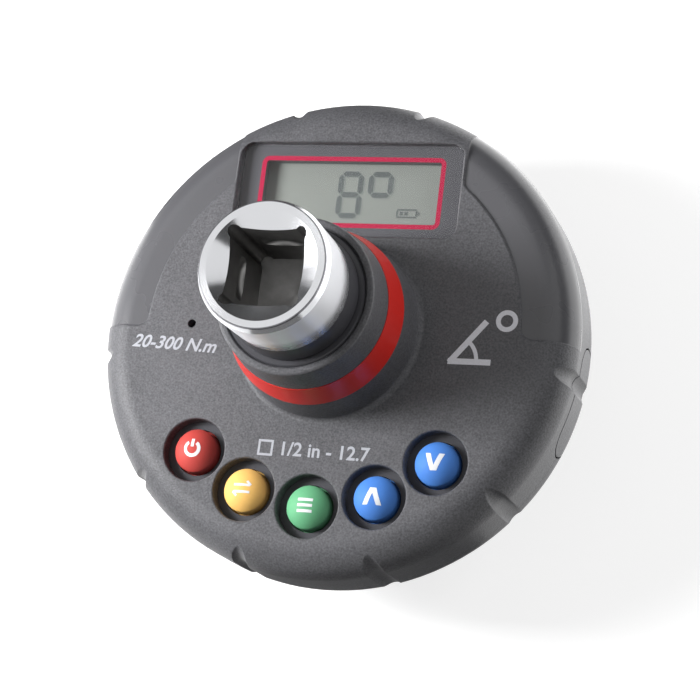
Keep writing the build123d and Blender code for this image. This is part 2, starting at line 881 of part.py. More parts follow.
# Key plate: black floor of the wells that guides the caps and stops their flanges.
with BuildPart() as key_plate:
    with BuildSketch(Plane.XY.offset(key_plate_z)):
        with BuildLine():
            outer_start = around(key_plate_outer, -90 - key_plate_angle)
            outer_end = around(key_plate_outer, -90 + key_plate_angle)
            inner_start = around(key_plate_inner, -90 - key_plate_angle)
            inner_end = around(key_plate_inner, -90 + key_plate_angle)
            ThreePointArc(outer_start, (0, -key_plate_outer), outer_end)
            Line(outer_end, inner_end)
            ThreePointArc(inner_end, (0, -key_plate_inner), inner_start)
            Line(inner_start, outer_start)
        make_face()
        with Locations(*key_points):
            Circle(key_radius + key_clearance, mode=Mode.SUBTRACT)
        with Locations(*post_points):
            Circle(post_radius + board_post_clearance, mode=Mode.SUBTRACT)
    extrude(amount=key_plate_height)
key_plate.part.label = "key_plate"
export_step(key_plate.part, "parts/key_plate.step")


def make_key(x, y):
    """A domed cap. Its flange lies under the key plate and its foot meets the plunger."""
    with BuildPart() as cap:
        with BuildSketch(Plane(origin=(x, y, 0), x_dir=(1, 0, 0), z_dir=(0, -1, 0))) as profile:
            crown_z = face_z + key_crown
            shoulder_z = face_z - key_shoulder
            dome_rise = crown_z - shoulder_z
            dome_radius = (key_radius**2 + dome_rise**2) / (2 * dome_rise)
            flange_radius = key_radius + key_flange
            with BuildLine():
                RadiusArc((key_radius, shoulder_z), (0, crown_z), -dome_radius)
                Polyline(
                    (0, crown_z),
                    (0, key_bottom_z),
                    (flange_radius, key_bottom_z),
                    (flange_radius, key_flange_z),
                    (key_radius, key_flange_z),
                    (key_radius, shoulder_z),
                )
            make_face()
            fillet(nearest(profile, key_radius, shoulder_z), key_round)
        revolve(axis=Axis((x, y, 0), (0, 0, 1)))
    return cap.part


def make_plunger(x, y):
    """The plunger of one key switch, which rides under the cap."""
    with BuildPart() as plunger:
        with BuildSketch(Plane.XY.offset(plunger_z)):
            with Locations((x, y)):
                Circle(plunger_radius)
        plunger_end_z = board_z + switch_floor + key_travel + key_seat
        extrude(amount=plunger_end_z - plunger_z)
    return plunger.part


for name, (x, y) in zip(key_names, key_points):
    key = make_key(x, y)
    key.label = f"key_{name}"
    export_step(key, f"parts/key_{name}.step")
    switch_plunger = make_plunger(x, y)
    switch_plunger.label = f"plunger_{name}"
    export_step(switch_plunger, f"parts/plunger_{name}.step")


# Switch bodies on the board, one below each key, turned to face the drive axis.
with BuildPart() as key_switches:
    for angle, point in zip(key_angles, key_points):
        with BuildSketch(Plane.XY.offset(board_z)):
            with Locations(Location((*point, 0), (0, 0, angle))):
                Rectangle(switch_side, switch_side)
        extrude(amount=switch_height)
    with BuildSketch(Plane.XY.offset(board_z + switch_floor)):
        with Locations(*key_points):
            Circle(plunger_radius + plunger_clearance)
    extrude(amount=switch_height - switch_floor, mode=Mode.SUBTRACT)
key_switches.part.label = "key_switches"
export_step(key_switches.part, "parts/key_switches.step")


# Sounder below its small hole.
with BuildPart() as buzzer:
    with BuildSketch(Plane.XY.offset(board_z)):
        with Locations((buzzer_x, 0)):
            Circle(buzzer_radius)
    extrude(amount=buzzer_height)
    with BuildSketch(Plane.XY.offset(board_z + buzzer_height)):
        with Locations((buzzer_x, 0)):
            Circle(buzzer_hole)
    extrude(amount=-buzzer_height / 2, mode=Mode.SUBTRACT)
    chamfer(buzzer.edges().group_by(Axis.Z)[-1].sort_by(SortBy.RADIUS)[-1], bush_edge)
buzzer.part.label = "buzzer"
export_step(buzzer.part, "parts/buzzer.step")


# Chips: processor, amplifier, converter and regulator as (angle, radius, length, width).
chip_circle = board_hole + chip_offset
chip_list = (
    (210, chip_circle, processor_side, processor_side),
    (165, board_radius - chip_edge_inset, chip_length, chip_width),
    (150, chip_circle, chip_length, chip_width),
    (25, chip_circle, chip_width, chip_width),
)
with BuildPart() as chips:
    with BuildSketch(Plane.XY.offset(board_z)):
        for angle, radius, length, width in chip_list:
            with Locations(Location((*around(radius, angle), 0), (0, 0, angle))):
                Rectangle(length, width)
    extrude(amount=chip_height)
chips.part.label = "chips"
export_step(chips.part, "parts/chips.step")

with BuildPart() as angle_sensor:
    sensor_place = around(pillar_circle, 0)
    with BuildSketch(Plane.XY.offset(board_z)):
        with Locations(sensor_place):
            Rectangle(sensor_side, sensor_side)
    extrude(amount=chip_height / 2)
    with BuildSketch(Plane.XY.offset(board_z + chip_height / 2)):
        with Locations(sensor_place):
            Rectangle(sensor_side / 2, sensor_side / 2)
    extrude(amount=chip_height)
angle_sensor.part.label = "angle_sensor"
export_step(angle_sensor.part, "parts/angle_sensor.step")


# Four foil gauges on the waist of the shaft and the flexible lead to the board.
gauge_foil = 0.15
gauge_side = 3.8
gauge_middle_z = (journal_top_z + gauge_top_z) / 2
with BuildPart() as strain_gauges:
    with BuildSketch(Plane.XY.offset(gauge_middle_z - gauge_side / 2)):
        with PolarLocations(gauge_radius, 4):
            Rectangle(gauge_side, gauge_side)
        Circle(gauge_radius + gauge_foil, mode=Mode.INTERSECT)
        Circle(gauge_radius, mode=Mode.SUBTRACT)
    extrude(amount=gauge_side)
strain_gauges.part.label = "strain_gauges"
export_step(strain_gauges.part, "parts/strain_gauges.step")

ribbon_width = 5.0
ribbon_landing = 3.5
ribbon_inner = gauge_radius + gauge_foil + sleeve_gap
with BuildPart() as gauge_ribbon:
    with BuildSketch(Plane.YZ.offset(-ribbon_width / 2)):
        with BuildLine():
            Polyline(
                (ribbon_inner, gauge_middle_z - gauge_side / 2),
                (ribbon_inner + gauge_foil, gauge_middle_z - gauge_side / 2),
                (ribbon_inner + gauge_foil, board_z + running_clearance),
                (board_hole + ribbon_landing, board_z + running_clearance),
                (board_hole + ribbon_landing, board_z + running_clearance + gauge_foil),
                (ribbon_inner, board_z + running_clearance + gauge_foil),
                close=True,
            )
        make_face()
    extrude(amount=ribbon_width)
gauge_ribbon.part.label = "gauge_ribbon"
export_step(gauge_ribbon.part, "parts/gauge_ribbon.step")


# Battery drawer: its door is flush with the rim, and its tray holds two coin cells.
with BuildPart() as battery_drawer:
    with BuildSketch(door_plane.offset(tray_end_place)):
        SlotOverall(door_width, door_height)
    extrude(amount=housing_radius)
    add(housing_form.part, mode=Mode.INTERSECT)
    add(groove_cutters.part, mode=Mode.SUBTRACT)
    with BuildSketch(tray_plane.offset(tray_top_z)):
        Rectangle(inner_radius, door_width, align=(Align.MIN, Align.CENTER))
    extrude(amount=door_height, mode=Mode.SUBTRACT)
    with BuildSketch(tray_plane.offset(cell_z)):
        with Locations((cell_place, 0)):
            Circle(cell_radius + cell_clearance)
        with Locations((tray_end_place, 0)):
            Rectangle(cell_radius, tray_window)
    extrude(amount=door_height, mode=Mode.SUBTRACT)
battery_drawer.part.label = "battery_drawer"
export_step(battery_drawer.part, "parts/battery_drawer.step")

with BuildPart() as coin_cells:
    for index in range(cell_count):
        low_z = cell_z + index * (cell_height + cell_gap)
        with BuildSketch(tray_plane.offset(low_z)):
            with Locations((cell_place, 0)):
                Circle(cell_radius)
        extrude(amount=cell_height)
coin_cells.part.label = "coin_cells"
export_step(coin_cells.part, "parts/coin_cells.step")


# Sprung contacts: one leaf presses on the upper cell, the other reaches the lower one's rim.
leaf_low = cell_top_z + leaf_clearance
leaf_root = tray_end_place + tray_end
leaf_tip = cell_place
reach = cell_place - cell_radius - leaf_clearance
finger = tray_end_place - door_clearance - leaf_height
with BuildPart() as battery_contacts:
    with BuildSketch(Plane(origin=(0, 0, 0), x_dir=door_out, z_dir=(door_out[1], -door_out[0], 0))):
        with BuildLine():
            Polyline(
                (leaf_root, board_bottom_z),
                (leaf_root + leaf_width, board_bottom_z),
                (leaf_tip, leaf_low + leaf_height),
                (leaf_tip + leaf_width, leaf_low + 2 * leaf_height),
                (leaf_tip + leaf_width, leaf_low + leaf_height),
                (leaf_tip, leaf_low),
                (leaf_root + leaf_width, board_bottom_z - leaf_height),
                (leaf_root, board_bottom_z - leaf_height),
                close=True,
            )
        make_face()
        with BuildLine():
            Polyline(
                (finger, board_bottom_z),
                (finger + leaf_height, board_bottom_z),
                (finger + leaf_height, cell_z + cell_height - leaf_height),
                (reach, cell_z + cell_height / 2),
                (reach, cell_z + cell_height / 2 - leaf_height),
                (finger, cell_z + cell_height - 2 * leaf_height),
                close=True,
            )
        make_face()
    extrude(amount=leaf_width / 2, both=True)
battery_contacts.part.label = "battery_contacts"
export_step(battery_contacts.part, "parts/battery_contacts.step")
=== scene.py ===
# %% [markdown]
# # A digital torque adapter, dressed for its portrait
#
# The adapter sits between a ratchet and a socket and reads how hard the ratchet is turned. Its
# solid parts come in finished from the frame: the dial housing, the chromed tower, the keys, the
# window and everything inside. What is left for Blender is what moulding, plating, printing and
# light add to them. We work in metres, and up is Z.

# %% Load the frame
import bmesh
import bpy
import json
import math
from mathutils import Matrix, Vector
from mathutils.bvhtree import BVHTree

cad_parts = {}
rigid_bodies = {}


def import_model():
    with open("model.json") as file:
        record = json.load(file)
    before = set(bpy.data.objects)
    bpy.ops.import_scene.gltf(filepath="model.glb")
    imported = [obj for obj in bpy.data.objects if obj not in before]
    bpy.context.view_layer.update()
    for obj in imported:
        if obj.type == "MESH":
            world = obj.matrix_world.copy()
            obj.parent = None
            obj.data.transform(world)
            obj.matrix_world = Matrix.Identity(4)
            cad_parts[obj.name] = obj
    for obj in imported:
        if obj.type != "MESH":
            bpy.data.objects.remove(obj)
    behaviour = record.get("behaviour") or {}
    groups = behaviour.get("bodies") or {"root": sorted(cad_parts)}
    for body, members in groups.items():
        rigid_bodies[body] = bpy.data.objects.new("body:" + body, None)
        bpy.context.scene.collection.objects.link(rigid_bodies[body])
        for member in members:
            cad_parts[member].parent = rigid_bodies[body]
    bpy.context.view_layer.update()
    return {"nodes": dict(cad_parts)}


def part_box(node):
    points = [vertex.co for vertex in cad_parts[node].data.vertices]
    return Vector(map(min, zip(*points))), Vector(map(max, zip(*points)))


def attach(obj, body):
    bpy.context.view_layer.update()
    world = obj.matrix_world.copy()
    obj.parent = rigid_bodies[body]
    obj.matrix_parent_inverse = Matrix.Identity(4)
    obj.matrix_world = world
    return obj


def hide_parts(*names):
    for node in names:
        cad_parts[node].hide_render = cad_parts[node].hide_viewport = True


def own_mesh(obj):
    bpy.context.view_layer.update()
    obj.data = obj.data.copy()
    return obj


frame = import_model()
nodes = frame["nodes"]
mm = 0.001

# %% [markdown]
# ## The levels that everything hangs on
#
# Rather than typing heights again, we read them off the parts that came in. The dial face is the
# plane that most of our work is measured from, so we find it from the window, which lies one
# millimetre below it in its recess.

# %% Read the levels
window_low, window_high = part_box("display_window")
window_centre = (window_low + window_high) / 2
recess_depth = 1.0 * mm
face_z = window_high.z + recess_depth
rim_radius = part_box("front_cover")[1].x
panel_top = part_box("lcd_panel")[1].z
tower_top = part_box("torque_shaft")[1].z
print("dial face at", round(face_z / mm, 2), "mm, rim radius", round(rim_radius / mm, 2), "mm")

# %% [markdown]
# ## The camera
#
# The photograph was taken from above the dial, a little from below and from the right, with a
# long lens, so that circles stay nearly round. A camera's axes can be written straight into its
# matrix: the first column points right in the picture, the second up, and the third back towards
# the eye.

# %% Place the camera
def add_object(name, data):
    made = bpy.data.objects.new(name, data)
    bpy.context.scene.collection.objects.link(made)
    return made


def place_camera(spot, right, back, lens):
    data = bpy.data.cameras.new("portrait_camera")
    camera = add_object("portrait_camera", data)
    back = Vector(back).normalized()
    up = back.cross(Vector(right)).normalized()
    turn = Matrix((up.cross(back), up, back)).transposed().to_4x4()
    camera.matrix_world = Matrix.Translation(spot) @ turn
    data.sensor_width = 36
    data.lens = lens
    return camera


camera = place_camera(
    spot=(130.4 * mm, -105.3 * mm, face_z + 373.8 * mm),
    right=(0.9502, 0.1200, -0.2878),
    back=(0.3094, -0.2493, 0.9177),
    lens=120.06,
)
bpy.context.scene.camera = camera
print("camera", round(camera.location.length / mm), "mm from the foot of the adapter")

# %% [markdown]
# ## Helpers for node trees
#
# Every finish below is a small tree of nodes. A few helpers keep the trees readable: they add a
# node and set its values, add a Math node, mix two colours, and start a material with its
# Principled shader. Values that are the same all over a surface are set on the shader itself.

# %% Define the node helpers
def add_node(tree, kind, **settings):
    node = tree.nodes.new(kind)
    for name, value in settings.items():
        setattr(node, name, value)
    return node


def math_node(tree, operation, first, second=None):
    node = add_node(tree, "ShaderNodeMath", operation=operation)
    for socket, value in zip(node.inputs, (first, second)):
        if value is None:
            continue
        if isinstance(value, (int, float)):
            socket.default_value = value
        else:
            tree.links.new(value, socket)
    return node.outputs[0]


def mix_colours(tree, factor, first, second):
    """Blends two colours. Each is either a fixed colour or the output of a node."""
    node = add_node(tree, "ShaderNodeMix", data_type="RGBA")
    tree.links.new(factor, node.inputs["Factor"])
    for title, colour in (("A", first), ("B", second)):
        if isinstance(colour, tuple):
            node.inputs[title].default_value = (*colour, 1)
        else:
            tree.links.new(colour, node.inputs[title])
    return node.outputs["Result"]


def start_material(name, colour, roughness, metallic=0.0, **sockets):
    material = bpy.data.materials.new(name)
    material.use_nodes = True
    shader = material.node_tree.nodes["Principled BSDF"]
    shader.inputs["Base Color"].default_value = (*colour, 1)
    shader.inputs["Roughness"].default_value = roughness
    shader.inputs["Metallic"].default_value = metallic
    for socket, value in sockets.items():
        shader.inputs[socket.replace("_", " ")].default_value = value
    return material, material.node_tree, shader


def dress(material, *names):
    for name in names:
        slots = nodes[name].data.materials
        slots.clear()
        slots.append(material)


def srgb(*screen_values):
    """Colours are easier to judge as screen values, and the shader wants linear light."""
    def linear(share):
        return share / 12.92 if share < 0.0404 else ((share + 0.055) / 1.055) ** 2.4

    return tuple(linear(value / 255) for value in screen_values)


print("helpers ready")

# %% [markdown]
# ## A grain for moulded plastic
#
# Spark erosion leaves the mould of the housing pitted all over, and the plastic copies it as a
# fine, even grain. Two noises make it: a fine one for the pits and a broad one for the way they
# catch dust. A node group lets every plastic here share the effect with its own values.

# %% Build the grain group
def new_group(name, inputs, outputs):
    group = bpy.data.node_groups.new(name, "ShaderNodeTree")
    for title, kind, value in inputs:
        socket = group.interface.new_socket(title, in_out="INPUT", socket_type=kind)
        if value is not None:
            socket.default_value = value
    for title, kind in outputs:
        group.interface.new_socket(title, in_out="OUTPUT", socket_type=kind)
    entry = group.nodes.new("NodeGroupInput")
    leave = group.nodes.new("NodeGroupOutput")
    return group, entry, leave


def noise(tree, coordinates, scale, detail=3.0, roughness=0.55):
    node = add_node(tree, "ShaderNodeTexNoise")
    node.inputs["Scale"].default_value = scale
    node.inputs["Detail"].default_value = detail
    node.inputs["Roughness"].default_value = roughness
    tree.links.new(coordinates, node.inputs["Vector"])
    return node.outputs["Fac"]


grain_group, grain_in, grain_out = new_group(
    "moulded_grain",
    [
        ("Vector", "NodeSocketVector", None),
        ("Colour", "NodeSocketColor", (0.1, 0.1, 0.1, 1)),
        ("Contrast", "NodeSocketFloat", 0.2),
        ("Base Roughness", "NodeSocketFloat", 0.5),
        ("Fineness", "NodeSocketFloat", 2600.0),
    ],
    [("Colour", "NodeSocketColor"), ("Roughness", "NodeSocketFloat"), ("Height", "NodeSocketFloat")],
)
fine = noise(grain_group, grain_in.outputs["Vector"], scale=2600, detail=2.0, roughness=0.5)
grain_group.links.new(grain_in.outputs["Fineness"], fine.node.inputs["Scale"])
broad = noise(grain_group, grain_in.outputs["Vector"], scale=70, detail=3.0, roughness=0.6)
speck = math_node(grain_group, "SUBTRACT", fine, 0.5)
cloud = math_node(grain_group, "SUBTRACT", broad, 0.5)
cloud_share = 0.35
both = math_node(grain_group, "ADD", speck, math_node(grain_group, "MULTIPLY", cloud, cloud_share))
swing = math_node(grain_group, "MULTIPLY", both, grain_in.outputs["Contrast"])
factor = math_node(grain_group, "ADD", swing, 1.0)
shade = add_node(grain_group, "ShaderNodeVectorMath", operation="SCALE")
grain_group.links.new(grain_in.outputs["Colour"], shade.inputs[0])
grain_group.links.new(factor, shade.inputs["Scale"])
grain_group.links.new(shade.outputs[0], grain_out.inputs["Colour"])
patchiness = 0.18
patches = math_node(grain_group, "MULTIPLY", cloud, patchiness)
rough = math_node(grain_group, "ADD", grain_in.outputs["Base Roughness"], patches)
grain_group.links.new(rough, grain_out.inputs["Roughness"])
grain_group.links.new(fine, grain_out.inputs["Height"])
print("grain group has", len(grain_group.nodes), "nodes")

# %% [markdown]
# ## Moulded plastics
#
# The shader reads the group's colour and roughness, and a Bump node turns the pits into a tilt
# of the surface. Object coordinates tie the pattern to the part, so that it doesn't swim when
# the drawer slides or a key goes down. On the housing a Bevel node also rounds the look of every
# sharp edge, because no mould has knife edges and each edge should catch a thin line of light.

# %% Define a plastic
pit_depth = 0.06 * mm


def moulded_plastic(
    name, colour, roughness, contrast=0.2, fineness=2600.0, pits=0.15, edge=0.0, **sockets
):
    material, tree, shader = start_material(name, colour, roughness, **sockets)
    where = add_node(tree, "ShaderNodeTexCoord")
    grain = add_node(tree, "ShaderNodeGroup", node_tree=grain_group)
    grain.inputs["Colour"].default_value = (*colour, 1)
    grain.inputs["Contrast"].default_value = contrast
    grain.inputs["Base Roughness"].default_value = roughness
    grain.inputs["Fineness"].default_value = fineness
    bump = add_node(tree, "ShaderNodeBump")
    bump.inputs["Strength"].default_value = pits
    bump.inputs["Distance"].default_value = pit_depth
    tree.links.new(where.outputs["Object"], grain.inputs["Vector"])
    tree.links.new(grain.outputs["Colour"], shader.inputs["Base Color"])
    tree.links.new(grain.outputs["Roughness"], shader.inputs["Roughness"])
    tree.links.new(grain.outputs["Height"], bump.inputs["Height"])
    tree.links.new(bump.outputs["Normal"], shader.inputs["Normal"])
    if edge:
        soft_edge = add_node(tree, "ShaderNodeBevel", samples=6)
        soft_edge.inputs["Radius"].default_value = edge
        tree.links.new(soft_edge.outputs["Normal"], bump.inputs["Normal"])
    return material


# %% Dress the housing and the black parts
housing_colour = srgb(73, 73, 76)
housing_roughness = 0.46
housing_grain = {"contrast": 1.8, "fineness": 2900.0, "pits": 0.9, "edge": 0.3 * mm}
housing_grey = moulded_plastic("housing_grey", housing_colour, housing_roughness, **housing_grain)
dress(housing_grey, "rear_cover", "battery_drawer")
satin_black = moulded_plastic("satin_black", srgb(54, 54, 58), 0.36, contrast=0.15, pits=0.05)
dress(satin_black, "shaft_sleeve", "neck_bush", "rear_bush")
well_black = moulded_plastic("well_black", srgb(56, 56, 60), 0.6, contrast=0.2)
dress(well_black, "key_plate", "lcd_frame", "buzzer")
band_red = moulded_plastic("band_red", srgb(192, 32, 24), 0.3, contrast=0.06, pits=0.04)
dress(band_red, "red_band")
nylon = moulded_plastic("natural_nylon", srgb(216, 212, 200), 0.45, contrast=0.08, pits=0.08)
plungers = ["plunger_" + key for key in ("red", "yellow", "green", "blue_up", "blue_down")]
dress(nylon, "thrust_washer", *plungers)
print("plastics dressed")

# %% [markdown]
# ### The polished crescents
#
# Two crescents on the shoulders of the dial were polished in the mould, so the grain stops at
# their edge. They lie a little below the face, outside a circle, beside the window and above the
# middle of the dial, and they end where the side wall begins. Five comparisons say all that.
# Both masks on this adapter need a point's distance from the drive axis, so a helper adds it.

# %% Build the crescent mask
def from_axis(tree, vector):
    """Gives the X, Y and Z of a place, and its distance from the drive axis."""
    split = add_node(tree, "ShaderNodeSeparateXYZ")
    tree.links.new(vector, split.inputs[0])
    level = add_node(tree, "ShaderNodeCombineXYZ")
    tree.links.new(split.outputs[0], level.inputs[0])
    tree.links.new(split.outputs[1], level.inputs[1])
    reach = add_node(tree, "ShaderNodeVectorMath", operation="LENGTH")
    tree.links.new(level.outputs[0], reach.inputs[0])
    return (*split.outputs, reach.outputs["Value"])


crescent_group, crescent_in, crescent_out = new_group(
    "crescent_place",
    [
        ("Vector", "NodeSocketVector", None),
        ("Radius", "NodeSocketFloat", 0.0345),
        ("Side", "NodeSocketFloat", 0.0215),
        ("Low", "NodeSocketFloat", -0.0006),
        ("Level", "NodeSocketFloat", 0.0368),
        ("Foot", "NodeSocketFloat", 0.0303),
    ],
    [("Mask", "NodeSocketFloat")],
)
x, y, z, radius = from_axis(crescent_group, crescent_in.outputs["Vector"])
sideways = math_node(crescent_group, "ABSOLUTE", x)
mask = math_node(crescent_group, "GREATER_THAN", radius, crescent_in.outputs["Radius"])
for operation, place, limit in (
    ("GREATER_THAN", sideways, "Side"),
    ("GREATER_THAN", y, "Low"),
    ("LESS_THAN", z, "Level"),
    ("GREATER_THAN", z, "Foot"),
):
    test = math_node(crescent_group, operation, place, crescent_in.outputs[limit])
    mask = math_node(crescent_group, "MULTIPLY", mask, test)
crescent_group.links.new(mask, crescent_out.inputs["Mask"])
print("crescent mask has", len(crescent_group.nodes), "nodes")

# %% [markdown]
# The front cover has the finish of the rear one. On the crescents its contrast and its pits drop
# to nothing, and the surface gets smoother.

# %% Dress the front cover
polished_roughness = 0.28
cover_grey = moulded_plastic("cover_grey", housing_colour, housing_roughness, **housing_grain)
tree = cover_grey.node_tree
shader = tree.nodes["Principled BSDF"]
where = next(n for n in tree.nodes if n.bl_idname == "ShaderNodeTexCoord")
grain = next(n for n in tree.nodes if n.bl_idname == "ShaderNodeGroup")
bump = next(n for n in tree.nodes if n.bl_idname == "ShaderNodeBump")
crescent = add_node(tree, "ShaderNodeGroup", node_tree=crescent_group)
tree.links.new(where.outputs["Object"], crescent.inputs["Vector"])
grained = math_node(tree, "SUBTRACT", 1.0, crescent.outputs["Mask"])
tree.links.new(math_node(tree, "MULTIPLY", grained, housing_grain["contrast"]), grain.inputs["Contrast"])
tree.links.new(math_node(tree, "MULTIPLY", grained, housing_grain["pits"]), bump.inputs["Strength"])
rougher = math_node(tree, "MULTIPLY", grained, housing_roughness - polished_roughness)
tree.links.new(math_node(tree, "ADD", rougher, polished_roughness), grain.inputs["Base Roughness"])
dress(cover_grey, "front_cover")
print("cover dressed")

# %% [markdown]
# ## Key caps
#
# The caps are moulded in colour with a satin finish, so they have hardly any grain and a very
# broad, soft highlight.

# %% Dress the key caps
blue_cap = srgb(66, 115, 187)
key_colours = {
    "key_red": srgb(166, 62, 57),
    "key_yellow": srgb(214, 170, 96),
    "key_green": srgb(90, 152, 112),
    "key_blue_up": blue_cap,
    "key_blue_down": blue_cap,
}
cap_finish = {"contrast": 0.08, "fineness": 1800, "pits": 0.05, "Specular_IOR_Level": 0.35}
for name, colour in key_colours.items():
    dress(moulded_plastic(name + "_satin", colour, 0.55, **cap_finish), name)
print("key caps:", ", ".join(key_colours))

# %% [markdown]
# ## Chrome
#
# The tower was turned on a lathe, polished and plated. The turning leaves rings far too fine to
# see, but they stretch every reflection across them, so the tower's side shows soft upright
# bands of light where a perfect mirror would only show the dial. The shader does this with
# anisotropy. Its direction comes from a Tangent node that runs round the axis.

# %% Build the metal
line_depth = 0.02 * mm
line_stretch = (60, 60, 900)
quarter_turn = 0.25


def plated_metal(name, colour, roughness, smear=0.06, turned=0.02, pull=0.0):
    material, tree, shader = start_material(name, colour, roughness, metallic=1.0)
    where = add_node(tree, "ShaderNodeTexCoord")
    squeeze = add_node(tree, "ShaderNodeMapping")
    squeeze.inputs["Scale"].default_value = line_stretch
    tree.links.new(where.outputs["Object"], squeeze.inputs["Vector"])
    lines = noise(tree, squeeze.outputs["Vector"], scale=6.0, detail=4.0, roughness=0.6)
    smears = noise(tree, where.outputs["Object"], scale=110, detail=3.0, roughness=0.5)
    spread = math_node(tree, "MULTIPLY", math_node(tree, "SUBTRACT", smears, 0.5), smear)
    tree.links.new(math_node(tree, "ADD", spread, roughness), shader.inputs["Roughness"])
    bump = add_node(tree, "ShaderNodeBump")
    bump.inputs["Strength"].default_value = turned
    bump.inputs["Distance"].default_value = line_depth
    tree.links.new(lines, bump.inputs["Height"])
    tree.links.new(bump.outputs["Normal"], shader.inputs["Normal"])
    if pull:
        round_axis = add_node(tree, "ShaderNodeTangent", direction_type="RADIAL", axis="Z")
        tree.links.new(round_axis.outputs["Tangent"], shader.inputs["Tangent"])
        shader.inputs["Anisotropic"].default_value = pull
        shader.inputs["Anisotropic Rotation"].default_value = quarter_turn
    return material


# %% [markdown]
# ### The bare socket inside the chrome
#
# Plating barely reaches into a deep square hole, so its walls stay the dark grey of the
# hardened steel. A group finds that place: it lies below the mouth, which is a cone, and within
# the hole's depth. The chrome then blends into dark steel there.

# %% Build the socket mask
socket_group, socket_in, socket_out = new_group(
    "socket_place",
    [
        ("Vector", "NodeSocketVector", None),
        ("Top", "NodeSocketFloat", 0.07),
        ("Mouth Radius", "NodeSocketFloat", 0.009),
        ("Mouth Slope", "NodeSocketFloat", 0.65),
        ("Depth", "NodeSocketFloat", 0.018),
    ],
    [("Mask", "NodeSocketFloat")],
)
plating_reach = 0.03 * mm
widest = 9.4 * mm
x, y, z, radius = from_axis(socket_group, socket_in.outputs["Vector"])
from_rim = math_node(socket_group, "SUBTRACT", socket_in.outputs["Mouth Radius"], radius)
cone_drop = math_node(socket_group, "MULTIPLY", from_rim, socket_in.outputs["Mouth Slope"])
drop = math_node(socket_group, "SUBTRACT", socket_in.outputs["Top"], z)
under_cone = math_node(socket_group, "SUBTRACT", drop, cone_drop)
below = math_node(socket_group, "GREATER_THAN", under_cone, plating_reach)
shallow = math_node(socket_group, "LESS_THAN", drop, socket_in.outputs["Depth"])
near_axis = math_node(socket_group, "LESS_THAN", radius, widest)
mask = math_node(socket_group, "MULTIPLY", below, shallow)
mask = math_node(socket_group, "MULTIPLY", mask, near_axis)
socket_group.links.new(mask, socket_out.inputs["Mask"])
print("socket mask has", len(socket_group.nodes), "nodes")

# %% Plate the shaft
chrome_colour = srgb(218, 219, 222)
chrome = plated_metal("chrome_plate", chrome_colour, 0.22, smear=0.05, turned=0.01, pull=0.8)
tree = chrome.node_tree
shader = tree.nodes["Principled BSDF"]
where = next(n for n in tree.nodes if n.bl_idname == "ShaderNodeTexCoord")
mouth_half_angle = math.radians(57)
socket = add_node(tree, "ShaderNodeGroup", node_tree=socket_group)
socket.inputs["Top"].default_value = tower_top
socket.inputs["Mouth Radius"].default_value = 9.55 * mm
socket.inputs["Mouth Slope"].default_value = 1 / math.tan(mouth_half_angle)
socket.inputs["Depth"].default_value = 17.6 * mm
tree.links.new(where.outputs["Object"], socket.inputs["Vector"])
scale_marks = noise(tree, where.outputs["Object"], scale=420, detail=4.0, roughness=0.6)
dark_steel = mix_colours(tree, scale_marks, srgb(116, 115, 114), srgb(156, 155, 154))
print("shaft plated, tower top at", round(tower_top / mm, 2), "mm")

# %% [markdown]
# The tower's top carries a painted dark line where the flat top meets the outer chamfer, a painted shade
# at that edge, which we find by its radius. The side below the edge is a little duller than the top. Low
# down it gets shinier again, so that it mirrors the dark neck and darkens towards its foot.

# %% Add the painted edge shade and the finish of the side
def rise(tree, value, low, high, top=1.0):
    """Climbs smoothly from 0 to top while value goes from low to high."""
    slope = add_node(tree, "ShaderNodeMapRange", interpolation_type="SMOOTHSTEP")
    tree.links.new(value, slope.inputs["Value"])
    slope.inputs["From Min"].default_value = low
    slope.inputs["From Max"].default_value = high
    slope.inputs["To Max"].default_value = top
    return slope.outputs["Result"]


line_radius = 10.82 * mm
line_half_width = 0.14 * mm
line_band = 0.6 * mm
edge_height = 1.35 * mm
side_radius = 10.3 * mm
dull_from, dull_to = tower_top - 12.0 * mm, tower_top - 7.0 * mm
side_dulling, socket_dulling = 0.25, 0.14
x, y, z, radius = from_axis(tree, where.outputs["Object"])
from_line = math_node(tree, "ABSOLUTE", math_node(tree, "SUBTRACT", radius, line_radius))
near_line = math_node(tree, "LESS_THAN", from_line, line_half_width)
near_top = math_node(tree, "GREATER_THAN", z, tower_top - line_band)
# Painted shade: a darker ring where the flat top meets the outer chamfer.
edge_shade_line = math_node(tree, "MULTIPLY", near_line, near_top)
edge_shaded = mix_colours(tree, edge_shade_line, chrome_colour, srgb(128, 128, 132))
both_metals = mix_colours(tree, socket.outputs["Mask"], edge_shaded, dark_steel)
tree.links.new(both_metals, shader.inputs["Base Color"])
below_edge = math_node(tree, "LESS_THAN", z, tower_top - edge_height)
on_side = math_node(tree, "MULTIPLY", below_edge, math_node(tree, "GREATER_THAN", radius, side_radius))
dull_side = math_node(tree, "MULTIPLY", on_side, rise(tree, z, dull_from, dull_to))
dull_socket = math_node(tree, "MULTIPLY", socket.outputs["Mask"], socket_dulling)
roughness = math_node(tree, "ADD", shader.inputs["Roughness"].links[0].from_socket, dull_socket)
roughness = math_node(tree, "ADD", roughness, math_node(tree, "MULTIPLY", dull_side, side_dulling))
tree.links.new(roughness, shader.inputs["Roughness"])
dress(chrome, "torque_shaft")
print("side dulled above", round((tower_top - dull_from) / mm, 1), "mm below the top")

